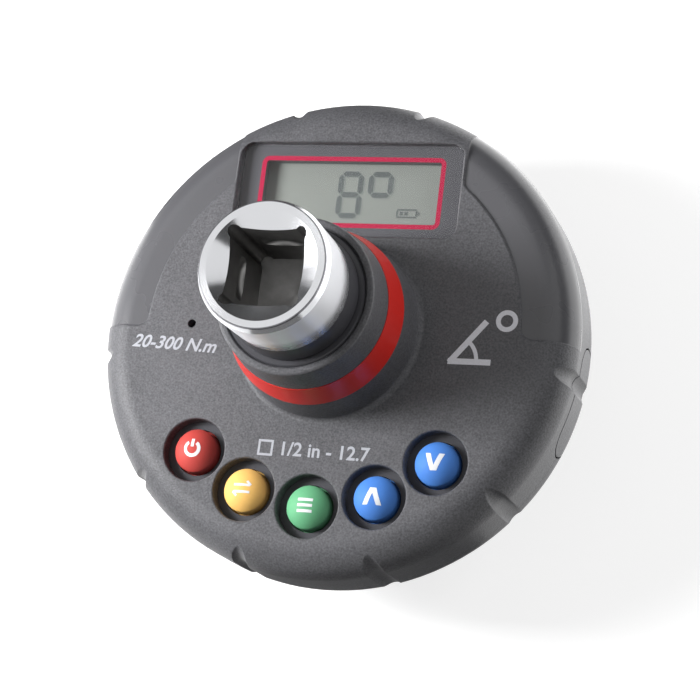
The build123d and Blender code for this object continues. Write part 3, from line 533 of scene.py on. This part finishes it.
# %% Dress the other metal parts
polished = plated_metal("polished_ball", srgb(225, 226, 230), 0.08)
dress(polished, "detent_ball")
zinc = plated_metal("zinc_plate", srgb(178, 180, 184), 0.32, smear=0.2, turned=0.15)
dress(zinc, "clamp_collar", "collar_screws", "housing_screws", "coin_cells", "key_switches")
spring_steel = plated_metal("oiled_spring_steel", srgb(96, 96, 100), 0.28, smear=0.15, turned=0.1)
dress(spring_steel, "retaining_ring", "detent_spring")
bronze = plated_metal("contact_bronze", srgb(206, 168, 104), 0.3, smear=0.15)
dress(bronze, "battery_contacts")
foil = plated_metal("reflector_foil", srgb(205, 206, 202), 0.5, smear=0.1)
dress(foil, "lcd_reflector")
print("metals dressed")

# %% [markdown]
# ## Small inner parts
#
# These show only when something is taken apart, so each gets a plain colour of its own.

# %% Dress the small inner parts
resin = moulded_plastic("chip_resin", srgb(34, 34, 36), 0.5)
dress(resin, "chips", "angle_sensor")
tape = moulded_plastic("black_tape", srgb(26, 26, 27), 0.7)
dress(tape, "window_tape", "cover_seal")
silicone = moulded_plastic("silicone", srgb(196, 130, 120), 0.5)
dress(silicone, "zebra_strips")
polyimide = moulded_plastic("polyimide", srgb(190, 118, 40), 0.25)
dress(polyimide, "strain_gauges", "gauge_ribbon")
board_green = moulded_plastic("solder_mask", srgb(24, 92, 52), 0.3)
dress(board_green, "main_board")
print("small parts dressed")

# %% [markdown]
# ## The printed film and its red line
#
# Behind the window plate lies a printed film: smooth dark grey with a thin crimson line round
# the clear part. The line is a rounded rectangle, and its shape follows from one distance: how
# far a point lies outside the rounded outline. That takes a few Vector Math nodes and no texture.

# %% Build the rounded outline group
outline_group, outline_in, outline_out = new_group(
    "rounded_outline",
    [
        ("Vector", "NodeSocketVector", None),
        ("Centre", "NodeSocketVector", None),
        ("Inner Half", "NodeSocketVector", None),
        ("Corner", "NodeSocketFloat", 0.001),
    ],
    [("Distance", "NodeSocketFloat")],
)


def vector_node(tree, operation, first, second=None):
    node = add_node(tree, "ShaderNodeVectorMath", operation=operation)
    for socket, value in zip(node.inputs, (first, second)):
        if value is None:
            continue
        if isinstance(value, tuple):
            socket.default_value = value
        else:
            tree.links.new(value, socket)
    return node


vector, centre = outline_in.outputs["Vector"], outline_in.outputs["Centre"]
offset = vector_node(outline_group, "SUBTRACT", vector, centre)
flat = vector_node(outline_group, "MULTIPLY", offset.outputs[0], (1.0, 1.0, 0.0))
mirrored = vector_node(outline_group, "ABSOLUTE", flat.outputs[0])
beyond = vector_node(outline_group, "SUBTRACT", mirrored.outputs[0], outline_in.outputs["Inner Half"])
outside = vector_node(outline_group, "MAXIMUM", beyond.outputs[0], (0.0, 0.0, 0.0))
reach = vector_node(outline_group, "LENGTH", outside.outputs[0])
parts = add_node(outline_group, "ShaderNodeSeparateXYZ")
outline_group.links.new(beyond.outputs[0], parts.inputs[0])
deeper = math_node(outline_group, "MAXIMUM", parts.outputs[0], parts.outputs[1])
inside = math_node(outline_group, "MINIMUM", deeper, 0.0)
distance = math_node(outline_group, "ADD", reach.outputs["Value"], inside)
distance = math_node(outline_group, "SUBTRACT", distance, outline_in.outputs["Corner"])
outline_group.links.new(distance, outline_out.inputs["Distance"])
print("outline group has", len(outline_group.nodes), "nodes")

# %% Dress the printed film
line_half = Vector((17.35, 6.71, 0)) * mm
line_corner = 1.4 * mm
line_width = 0.85 * mm
film_grey = srgb(68, 68, 72)
crimson = srgb(148, 16, 54)
film, tree, shader = start_material("printed_film", film_grey, 0.5, Specular_IOR_Level=0.0)
where = add_node(tree, "ShaderNodeTexCoord")
outline = add_node(tree, "ShaderNodeGroup", node_tree=outline_group)
outline.inputs["Centre"].default_value = (window_centre.x, window_centre.y, 0)
outline.inputs["Inner Half"].default_value = line_half - Vector((line_corner, line_corner, 0))
outline.inputs["Corner"].default_value = line_corner
tree.links.new(where.outputs["Object"], outline.inputs["Vector"])
within = math_node(tree, "LESS_THAN", outline.outputs["Distance"], 0.0)
beside = math_node(tree, "GREATER_THAN", outline.outputs["Distance"], -line_width)
on_line = math_node(tree, "MULTIPLY", within, beside)
mottle = noise(tree, where.outputs["Object"], scale=900, detail=2.0)
grey_ink = mix_colours(tree, mottle, film_grey, srgb(74, 74, 78))
tree.links.new(mix_colours(tree, on_line, grey_ink, crimson), shader.inputs["Base Color"])
dress(film, "window_print")
print("red line is", round(line_width / mm, 2), "mm wide")

# %% [markdown]
# ## The window plate
#
# The plate in the frame touches the film, and two surfaces in one place confuse a ray tracer. We
# make the plate again from a grid of one square, round its corners, give it thickness and a
# polished edge, and leave a hair of air below it. It then stands for the plate in the frame.

# %% Helpers for meshes
def finish_piece(name, bm, material, body, smooth=False):
    bmesh.ops.recalc_face_normals(bm, faces=bm.faces)
    mesh = bpy.data.meshes.new(name)
    bm.to_mesh(mesh)
    bm.free()
    mesh.materials.append(material)
    for polygon in mesh.polygons:
        polygon.use_smooth = smooth
    piece = add_object(name, mesh)
    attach(piece, body)
    return piece


def bevel(bm, geometry, offset, segments, affect):
    bmesh.ops.bevel(
        bm,
        geom=geometry,
        offset=offset,
        offset_type="OFFSET",
        segments=segments,
        profile=0.5,
        affect=affect,
        material=-1,
    )


def add_square(bm, place):
    """A square of one unit, put in place by a matrix."""
    made = bmesh.ops.create_grid(bm, x_segments=1, y_segments=1, size=0.5)
    bmesh.ops.transform(bm, matrix=place, verts=made["verts"])
    return made["verts"]


def rounded_plate(bm, low, high, corner):
    """A flat rounded rectangle as one face, at the height of low."""
    size = high - low
    middle = (low + high) / 2
    place = Matrix.Translation((middle.x, middle.y, low.z)) @ Matrix.Diagonal((size.x, size.y, 1, 1))
    bevel(bm, add_square(bm, place), corner, 8, "VERTICES")
    return list(bm.faces)


def thicken(bm, faces, height):
    made = bmesh.ops.extrude_face_region(bm, geom=faces)
    lifted = [v for v in made["geom"] if isinstance(v, bmesh.types.BMVert)]
    bmesh.ops.translate(bm, vec=(0, 0, height), verts=lifted)
    return lifted


# %% Make the window plate
air = 0.05 * mm
plate_corner = 2.05 * mm
polished_edge = 0.2 * mm
bm = bmesh.new()
plate_low = Vector((window_low.x, window_low.y, window_low.z + air))
plate = rounded_plate(bm, plate_low, window_high, plate_corner)
top = thicken(bm, plate, window_high.z - plate_low.z)
rim_edges = [e for e in bm.edges if all(v in top for v in e.verts)]
bevel(bm, rim_edges, polished_edge, 2, "EDGES")
clear = start_material("clear_acrylic", (1, 1, 1), 0.0, IOR=1.33, Transmission_Weight=1.0)[0]
window_plate = finish_piece("window_plate", bm, clear, "housing")
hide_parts("display_window")
window_plate.visible_shadow = False
window_plate.visible_diffuse = False
print("window plate has", len(window_plate.data.polygons), "faces")

# %% [markdown]
# ## The detent spring
#
# The spring behind the detent ball gets shorter when a socket pushes the ball in. We wind it again round
# the same axis, at an even pitch and with closed ends, in place of the one in the frame.

# %% Wind the detent spring
def spring_tube(bm, low, high, wire, turns):
    """A wire of that radius, wound along Y inside the box from low to high, with closed ends."""
    steps, sides = 16, 8
    middle = (low + high) / 2
    coil = (high.x - low.x) / 2 - wire
    start, travel = low.y + wire, high.y - low.y - 2 * wire
    rings = []
    for step in range(turns * steps + 1):
        angle = math.tau * step / steps
        out = Vector((math.cos(angle), 0, math.sin(angle)))
        centre = Vector((middle.x, start + travel * step / (turns * steps), middle.z)) + out * coil
        ring = []
        for side in range(sides):
            turn = math.tau * side / sides
            way = out * math.cos(turn) + Vector((0, math.sin(turn), 0))
            ring.append(bm.verts.new(centre + way * wire))
        rings.append(ring)
    for before, after in zip(rings, rings[1:]):
        for side in range(sides):
            other = (side + 1) % sides
            bm.faces.new((before[side], before[other], after[other], after[side]))
    bm.faces.new(rings[0])
    bm.faces.new(rings[-1])


spring_low, spring_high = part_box("detent_spring")
spring_wire = 0.25 * mm
spring_turns = 5
bm = bmesh.new()
spring_tube(bm, spring_low, spring_high, spring_wire, spring_turns)
coil_spring = finish_piece("coil_spring", bm, spring_steel, "housing", smooth=True)
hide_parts("detent_spring")
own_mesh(coil_spring)
print("detent spring is", round((spring_high.y - spring_low.y) / mm, 2), "mm long with the ball out")

# %% [markdown]
# ## The display
#
# A reflective liquid crystal is grey-green, and its segments stand a little above the reflector, so each
# would cast a soft shadow on it; here that shadow is painted as a paler copy of each segment. The small
# sign in the corner is a plain battery.

# %% Dress the panel
panel_grey = srgb(108, 112, 108)
panel, tree, shader = start_material("liquid_crystal", panel_grey, 0.45, Specular_IOR_Level=0.1)
where = add_node(tree, "ShaderNodeTexCoord")
cloud = noise(tree, where.outputs["Object"], scale=60, detail=2.0)
tint = mix_colours(tree, cloud, panel_grey, srgb(113, 117, 113))
tree.links.new(tint, shader.inputs["Base Color"])
dress(panel, "lcd_panel")
print("panel dressed")

# %% [markdown]
# ### Seven segments
#
# Each segment is a bar with pointed ends. One square, stretched and with its short ends bevelled
# to a point, makes every one of them.

# %% Helpers for segments
segment_gap = 0.12 * mm


def add_segment(bm, start, end, width, z):
    """A bar from start to end, both Vectors in the plane, with pointed ends."""
    run = end - start
    length = run.length - 2 * segment_gap
    turn = Matrix.Rotation(math.atan2(run.y, run.x), 4, "Z")
    middle = (start + end) / 2
    place = Matrix.Translation((middle.x, middle.y, z)) @ turn @ Matrix.Diagonal((length, width, 1, 1))
    nearly_half = 0.499
    bevel(bm, add_square(bm, place), width * nearly_half, 1, "VERTICES")


def seven_segments(bm, corner, size, lit, width, z):
    """corner is the lower left one. lit names segments from a to g."""
    def point(u, v):
        return Vector((corner.x + u * size.x, corner.y + v * size.y))

    ends = {
        "a": (point(0, 1), point(1, 1)),
        "b": (point(1, 1), point(1, 0.5)),
        "c": (point(1, 0.5), point(1, 0)),
        "d": (point(0, 0), point(1, 0)),
        "e": (point(0, 0.5), point(0, 0)),
        "f": (point(0, 1), point(0, 0.5)),
        "g": (point(0, 0.5), point(1, 0.5)),
    }
    for name in lit:
        add_segment(bm, *ends[name], width, z)


print("segments stop", round(segment_gap / mm, 2), "mm short of each corner")

# %% [markdown]
# The battery sign is a few plain bars. Each line gives the middle of one, its width and its height, in
# millimetres. The painted shadow, a paler copy of the segments and bars, is drawn first, a little lower
# and to the right.

# %% Draw the digits and the battery sign
segment_ink = start_material("segment_ink", srgb(54, 60, 60), 0.5)[0]
# The paler ink is a painted shadow of the segments on the reflector.
painted_shadow_ink = start_material("segment_shadow", srgb(88, 93, 89), 0.5)[0]
digit_low = Vector((-2.55, 22.3)) * mm
ring_low = Vector((3.1, 22.3)) * mm
digit_size = Vector((3.7, 7.9)) * mm
bar_width = 1.0 * mm
battery_bars = (
    (10.4, 22.2, 3.6, 0.3),
    (10.4, 23.6, 3.6, 0.3),
    (8.6, 22.9, 0.3, 1.1),
    (12.2, 22.9, 0.3, 1.1),
    (12.6, 22.9, 0.35, 0.6),
    (9.4, 22.9, 0.6, 0.7),
    (10.3, 22.9, 0.6, 0.7),
)
for title, shift, height, ink in (
    ("digit_shadows", Vector((0.35, -0.2)) * mm, 0.006 * mm, painted_shadow_ink),
    ("digits", Vector((0, 0)), 0.02 * mm, segment_ink),
):
    bm = bmesh.new()
    z = panel_top + height
    seven_segments(bm, digit_low + shift, digit_size, "abcdefg", bar_width, z)
    seven_segments(bm, ring_low + shift, digit_size, "abfg", bar_width, z)
    for across, up, wide, tall in battery_bars:
        spot = Matrix.Translation((across * mm + shift.x / 2, up * mm + shift.y / 2, z))
        add_square(bm, spot @ Matrix.Diagonal((wide * mm, tall * mm, 1, 1)))
    digits = finish_piece(title, bm, ink, "housing")
    print(title, "has", len(digits.data.polygons), "bars")

# %% [markdown]
# ## White prints that follow the key caps
#
# The signs on the caps are printed on a dome. We draw each stroke as a finely divided square,
# stretch and slant it into place, and then lift every point onto the dome.

# %% Helpers for printed strokes
ink_height = 0.03 * mm
stroke_cuts = 10


def add_stroke(bm, start, end, width):
    """A straight bar from start to end, both Vectors in the plane."""
    run, middle = end - start, (start + end) / 2
    made = bmesh.ops.create_grid(bm, x_segments=stroke_cuts, y_segments=2, size=0.5)
    turn = Matrix.Rotation(math.atan2(run.y, run.x), 4, "Z")
    place = turn @ Matrix.Diagonal((run.length, width, 1, 1))
    place = Matrix.Translation((middle.x, middle.y, 0)) @ place
    bmesh.ops.transform(bm, matrix=place, verts=made["verts"])


def add_arm(bm, foot, tip, width):
    """A slanted stroke with level ends, as the arms of an arrowhead have."""
    run = tip - foot
    made = bmesh.ops.create_grid(bm, x_segments=2, y_segments=stroke_cuts, size=0.5)
    slant = Matrix.Identity(4)
    slant[0][1] = run.x
    slant[1][1] = run.y
    slant[0][0] = width
    middle = (foot + tip) / 2
    place = Matrix.Translation((middle.x, middle.y, 0)) @ slant
    bmesh.ops.transform(bm, matrix=place, verts=made["verts"])


def add_ring(bm, centre, inner, outer, start=0.0, sweep=360.0, steps=40):
    """A flat ring, or a part of one from the angle start over the angle sweep, in degrees."""
    before = set(bm.verts)
    edge = [bm.verts.new((reach, 0, 0)) for reach in (inner, outer)]
    line = bm.edges.new(edge)
    bmesh.ops.rotate(bm, verts=edge, cent=(0, 0, 0), matrix=Matrix.Rotation(math.radians(start), 3, "Z"))
    bmesh.ops.spin(
        bm,
        geom=[*edge, line],
        cent=(0, 0, 0),
        axis=(0, 0, 1),
        angle=math.radians(sweep),
        steps=steps,
        use_merge=sweep >= 360,
    )
    fresh = [v for v in bm.verts if v not in before]
    bmesh.ops.translate(bm, vec=(centre.x, centre.y, 0), verts=fresh)


def lay_on_cap(bm, key, centre):
    """Lifts every point of the flat drawing to where a ray from above meets the cap."""
    bmesh.ops.translate(bm, vec=(centre.x, centre.y, 0), verts=bm.verts)
    cap = BVHTree.FromObject(nodes[key], bpy.context.evaluated_depsgraph_get())
    for v in bm.verts:
        touch = cap.ray_cast(Vector((v.co.x, v.co.y, 1.0)), Vector((0, 0, -1)))[0]
        v.co.z += touch.z + ink_height


# %% Draw the signs of the keys
def chevron(bm, way):
    for side in (-1, 1):
        foot = Vector((side * 1.25, -1.5 * way)) * mm
        tip = Vector((side * 0.1, 1.5 * way)) * mm
        add_arm(bm, foot, tip, 0.9 * mm)


def power_sign(bm):
    add_ring(bm, Vector((0, 0)), 0.95 * mm, 1.55 * mm, start=125, sweep=290)
    add_stroke(bm, Vector((0, 0.3)) * mm, Vector((0, 1.75)) * mm, 0.55 * mm)


def swap_sign(bm):
    for way in (-1, 1):
        level = way * 0.62
        add_stroke(bm, Vector((-1.5, level)) * mm, Vector((1.5, level)) * mm, 0.42 * mm)
        tip = Vector((way * 1.6, level)) * mm
        add_stroke(bm, tip, Vector((way * 0.85, level + way * 0.72)) * mm, 0.4 * mm)


def list_sign(bm):
    for level in (-1.0, 0, 1.0):
        add_stroke(bm, Vector((-1.35, level)) * mm, Vector((1.35, level)) * mm, 0.5 * mm)


white_ink = moulded_plastic("white_ink", srgb(206, 208, 212), 0.5, contrast=0.12, pits=0.04)
signs = {
    "key_red": power_sign,
    "key_yellow": swap_sign,
    "key_green": list_sign,
    "key_blue_up": lambda bm: chevron(bm, 1),
    "key_blue_down": lambda bm: chevron(bm, -1),
}
for key, draw in signs.items():
    low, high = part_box(key)
    centre = (low + high) / 2
    bm = bmesh.new()
    draw(bm)
    lay_on_cap(bm, key, centre)
    finish_piece("sign_" + key[4:], bm, white_ink, key)
print("signs on", len(signs), "keys")

# %% [markdown]
# ## Prints on the dial
#
# A measuring range, a square with its size, and a sign for angles are printed on the face in
# white. Letters start as a text object, which is turned into a mesh and then laid in place.

# %% Print the range and the drive size
print_grain = {"fineness": 3000, "pits": 0.1}
dial_ink = moulded_plastic("dial_ink", srgb(150, 152, 158), 0.5, contrast=0.3, **print_grain)
sign_ink = moulded_plastic("sign_ink", srgb(222, 223, 229), 0.5, contrast=0.2, **print_grain)
ink_sink = 0.005 * mm
letter_weight = 0.06 * mm


def print_words(name, words, height, start, direction, slant=0.0):
    """Lays words on the face from the point start along direction, both in millimetres."""
    curve = bpy.data.curves.new(name, "FONT")
    curve.body = words
    curve.size = height
    curve.shear = slant
    curve.offset = letter_weight
    curve.resolution_u = 4
    holder = add_object(name + "_text", curve)
    bpy.context.view_layer.update()
    flat_letters = holder.evaluated_get(bpy.context.evaluated_depsgraph_get())
    mesh = bpy.data.meshes.new_from_object(flat_letters)
    bpy.data.objects.remove(holder)
    bm = bmesh.new()
    bm.from_mesh(mesh)
    bpy.data.meshes.remove(mesh)
    thicken(bm, list(bm.faces), ink_height)
    turn = Matrix.Rotation(math.atan2(direction[1], direction[0]), 4, "Z")
    place = Matrix.Translation((start[0] * mm, start[1] * mm, face_z - ink_sink)) @ turn
    bmesh.ops.transform(bm, matrix=place, verts=bm.verts)
    return finish_piece(name, bm, dial_ink, "housing")


for words in (
    print_words("range_print", "20-300 N.m", 3.3 * mm, (-36.8, -4.6), (17.2, -0.7), slant=0.3),
    print_words("size_print", "1/2 in - 12.7", 3.4 * mm, (-6.4, -23.1), (19.4, -0.4)),
):
    print(words.name, "is", round(words.dimensions.x / mm, 1), "mm wide")

# %% [markdown]
# The strokes of a sign cross one another. Each is a hair thicker than the one before and starts a
# hair lower, so that no two of them share a plane.

# %% Draw the angle sign and the drive square
thicker_by, lower_by = 0.004 * mm, 0.001 * mm


def print_sign(name, draws, ink):
    bm = bmesh.new()
    for count, draw in enumerate(draws):
        before = set(bm.faces)
        draw(bm)
        fresh = [face for face in bm.faces if face not in before]
        thicken(bm, fresh, ink_height + thicker_by * count)
        made = {v for face in bm.faces if face not in before for v in face.verts}
        bmesh.ops.translate(bm, vec=(0, 0, -lower_by * count), verts=list(made))
    bmesh.ops.translate(bm, vec=(0, 0, face_z - ink_sink), verts=bm.verts)
    sign = finish_piece(name, bm, ink, "housing")
    print(sign.name, "has", len(draws), "strokes")


def line_between(x1, y1, x2, y2, width):
    start, end = Vector((x1, y1)) * mm, Vector((x2, y2)) * mm
    return lambda bm: add_stroke(bm, start, end, width * mm)


vertex = Vector((22.6, -5.0)) * mm
degree = Vector((31.93, 2.5)) * mm
print_sign(
    "angle_sign",
    [
        line_between(22.2, -5.0, 29.8, -5.0, 1.05),
        line_between(22.45, -5.2, 28.4, 2.3, 1.05),
        lambda bm: add_ring(bm, vertex, 4.3 * mm, 5.0 * mm, start=2, sweep=47, steps=16),
        lambda bm: add_ring(bm, degree, 1.1 * mm, 1.95 * mm, steps=48),
    ],
    sign_ink,
)
print_sign(
    "drive_square_sign",
    [
        line_between(-10.2, -23.15, -7.5, -23.2, 0.4),
        line_between(-7.65, -23.3, -7.6, -20.6, 0.4),
        line_between(-7.4, -20.75, -10.1, -20.7, 0.4),
        line_between(-10.0, -20.5, -10.05, -23.3, 0.4),
    ],
    dial_ink,
)

# %% [markdown]
# ## Floor and light
#
# The part stands on a pale floor that is white to the camera and keeps the part's shadow. Soft
# light comes from the upper left, as in the photograph, and a weaker light from the right
# brightens the rim. In mirrored rays the floor gets brighter toward the back, beyond the part.

# %% Lay the floor
def sort_rays(tree):
    """Gives the node that knows a ray's kind, and 1 where the ray shows a surface to the eye."""
    ray = add_node(tree, "ShaderNodeLightPath")
    seen = math_node(tree, "MAXIMUM", ray.outputs["Is Camera Ray"], ray.outputs["Is Glossy Ray"])
    return ray, math_node(tree, "MAXIMUM", seen, ray.outputs["Is Transmission Ray"])


half_side = 1.5
paper_grey = (0.42, 0.42, 0.42)
paper_glow, mirrored_top = 0.72, 1.45
backwards = (0.3, 0.95, 0)
bm = bmesh.new()
bmesh.ops.create_grid(bm, x_segments=1, y_segments=1, size=half_side)
mesh = bpy.data.meshes.new("studio_floor")
bm.to_mesh(mesh)
bm.free()
floor = add_object("studio_floor", mesh)
paper, tree, shader = start_material("pale_paper", paper_grey, 0.9)
ray, seen = sort_rays(tree)
shader.inputs["Emission Color"].default_value = (1, 1, 1, 1)
where = add_node(tree, "ShaderNodeTexCoord")
toward_back = vector_node(tree, "DOT_PRODUCT", where.outputs["Object"], backwards)
from_middle = vector_node(tree, "LENGTH", where.outputs["Object"])
glow = rise(tree, toward_back.outputs["Value"], -50 * mm, 40 * mm, mirrored_top)
clear_of_part = rise(tree, from_middle.outputs["Value"], 36 * mm, 44 * mm)
mirrored_glow = math_node(tree, "MULTIPLY", glow, ray.outputs["Is Glossy Ray"])
mirrored_glow = math_node(tree, "MULTIPLY", mirrored_glow, clear_of_part)
plain_glow = math_node(tree, "MULTIPLY", seen, paper_glow)
level = math_node(tree, "ADD", plain_glow, mirrored_glow)
tree.links.new(level, shader.inputs["Emission Strength"])
mesh.materials.append(paper)
print("floor laid,", 2 * half_side, "m wide")

# %% [markdown]
# Chrome looks like metal only if it has something dark to mirror. Photographers put black cards
# just outside the picture for that, and this scene does the same. A card is a strip that bends
# round the part. Two angles say where it starts and ends, and each of its long edges has a
# distance from the axis and a height. With both edges 2 mm up, a card lies on the floor. Only
# reflections see the cards: they cast no shadow and take no light away. Two cards glow, because
# the left lamp is too strong and small to be mirrored well, and they show the metal a gentler one.

# %% Stand the cards
def reflection_card(name, start, end, inner, outer, shade, glow=0.0):
    """inner and outer give the two long edges, each by its distance and its height in metres."""
    material = start_material(name + "_paint", (shade, shade, shade), 0.9, Emission_Strength=glow)[0]
    steps = 24
    bm = bmesh.new()
    rows = []
    for step in range(steps + 1):
        angle = math.radians(start + (end - start) * step / steps)
        side = Vector((math.cos(angle), math.sin(angle), 0))
        corners = [side * reach + Vector((0, 0, height)) for reach, height in (inner, outer)]
        rows.append([bm.verts.new(corner) for corner in corners])
    for before, after in zip(rows, rows[1:]):
        bm.faces.new((*before, *reversed(after)))
    mesh = bpy.data.meshes.new(name)
    bm.to_mesh(mesh)
    bm.free()
    card = add_object(name, mesh)
    mesh.materials.append(material)
    for rays in ("camera", "diffuse", "transmission", "volume_scatter", "shadow"):
        setattr(card, "visible_" + rays, False)


beside_rim = (0.046, 0.002)
far_out = (1.3, 0.002)
reflection_card("front_floor_card", -116, -51, beside_rim, far_out, 0.12)
reflection_card("left_floor_card", -160, -116, beside_rim, far_out, 0.75)
reflection_card("rear_floor_card", 92, 150, beside_rim, (0.60, 0.002), 0.06)
reflection_card("left_glow_card", 168, 196, (0.32, 0.18), (0.22, 0.33), 0.8, 11.0)
reflection_card("left_low_card", 154, 184, (0.60, 0.02), (0.60, 0.22), 0.8, 1.9)
reflection_card("camera_card", -62, -16, (0.60, 0.35), (0.25, 0.80), 0.02)
reflection_card("rear_card", 92, 150, (0.60, 0.002), (0.60, 0.36), 0.02)
reflection_card("right_card", -15, 92, (0.60, 0.08), (0.60, 0.38), 0.05)
reflection_card("rear_right_card", 52, 108, (0.60, 0.38), (0.44, 0.62), 0.05)
cards = [each.name for each in bpy.data.objects if each.name.endswith("_card")]
print("cards:", len(cards))

# %% Light the scene
def area_light(name, spot, aim, size, power):
    """A lamp that lights surfaces but isn't seen itself, not even in the metal."""
    data = bpy.data.lights.new(name, "AREA")
    data.shape = "RECTANGLE"
    data.size, data.size_y = size
    data.energy = power
    lamp = add_object(name, data)
    lamp.location = spot
    lamp.visible_camera = False
    lamp.visible_glossy = False
    lamp.rotation_euler = (Vector(aim) - Vector(spot)).to_track_quat("-Z", "Y").to_euler()


dial_middle = (0, 0, 0.04)
area_light("left_softbox", (-0.205, 0.0, 0.205), dial_middle, (0.09, 0.12), 1.85)
area_light("rear_right_strip", (0.30, 0.22, 0.15), dial_middle, (0.08, 0.25), 0.8)
world = bpy.data.worlds.new("pale_studio")
bpy.context.scene.world = world
world.use_nodes = True
sky = world.node_tree
room_light, seen_extra = 0.24, 0.76
seen = sort_rays(sky)[1]
strength = math_node(sky, "ADD", math_node(sky, "MULTIPLY", seen, seen_extra), room_light)
sky.nodes["Background"].inputs["Color"].default_value = (1, 1, 1, 1)
sky.links.new(strength, sky.nodes["Background"].inputs["Strength"])
bpy.context.scene.view_settings.view_transform = "Standard"
print("lights:", len(bpy.data.lights))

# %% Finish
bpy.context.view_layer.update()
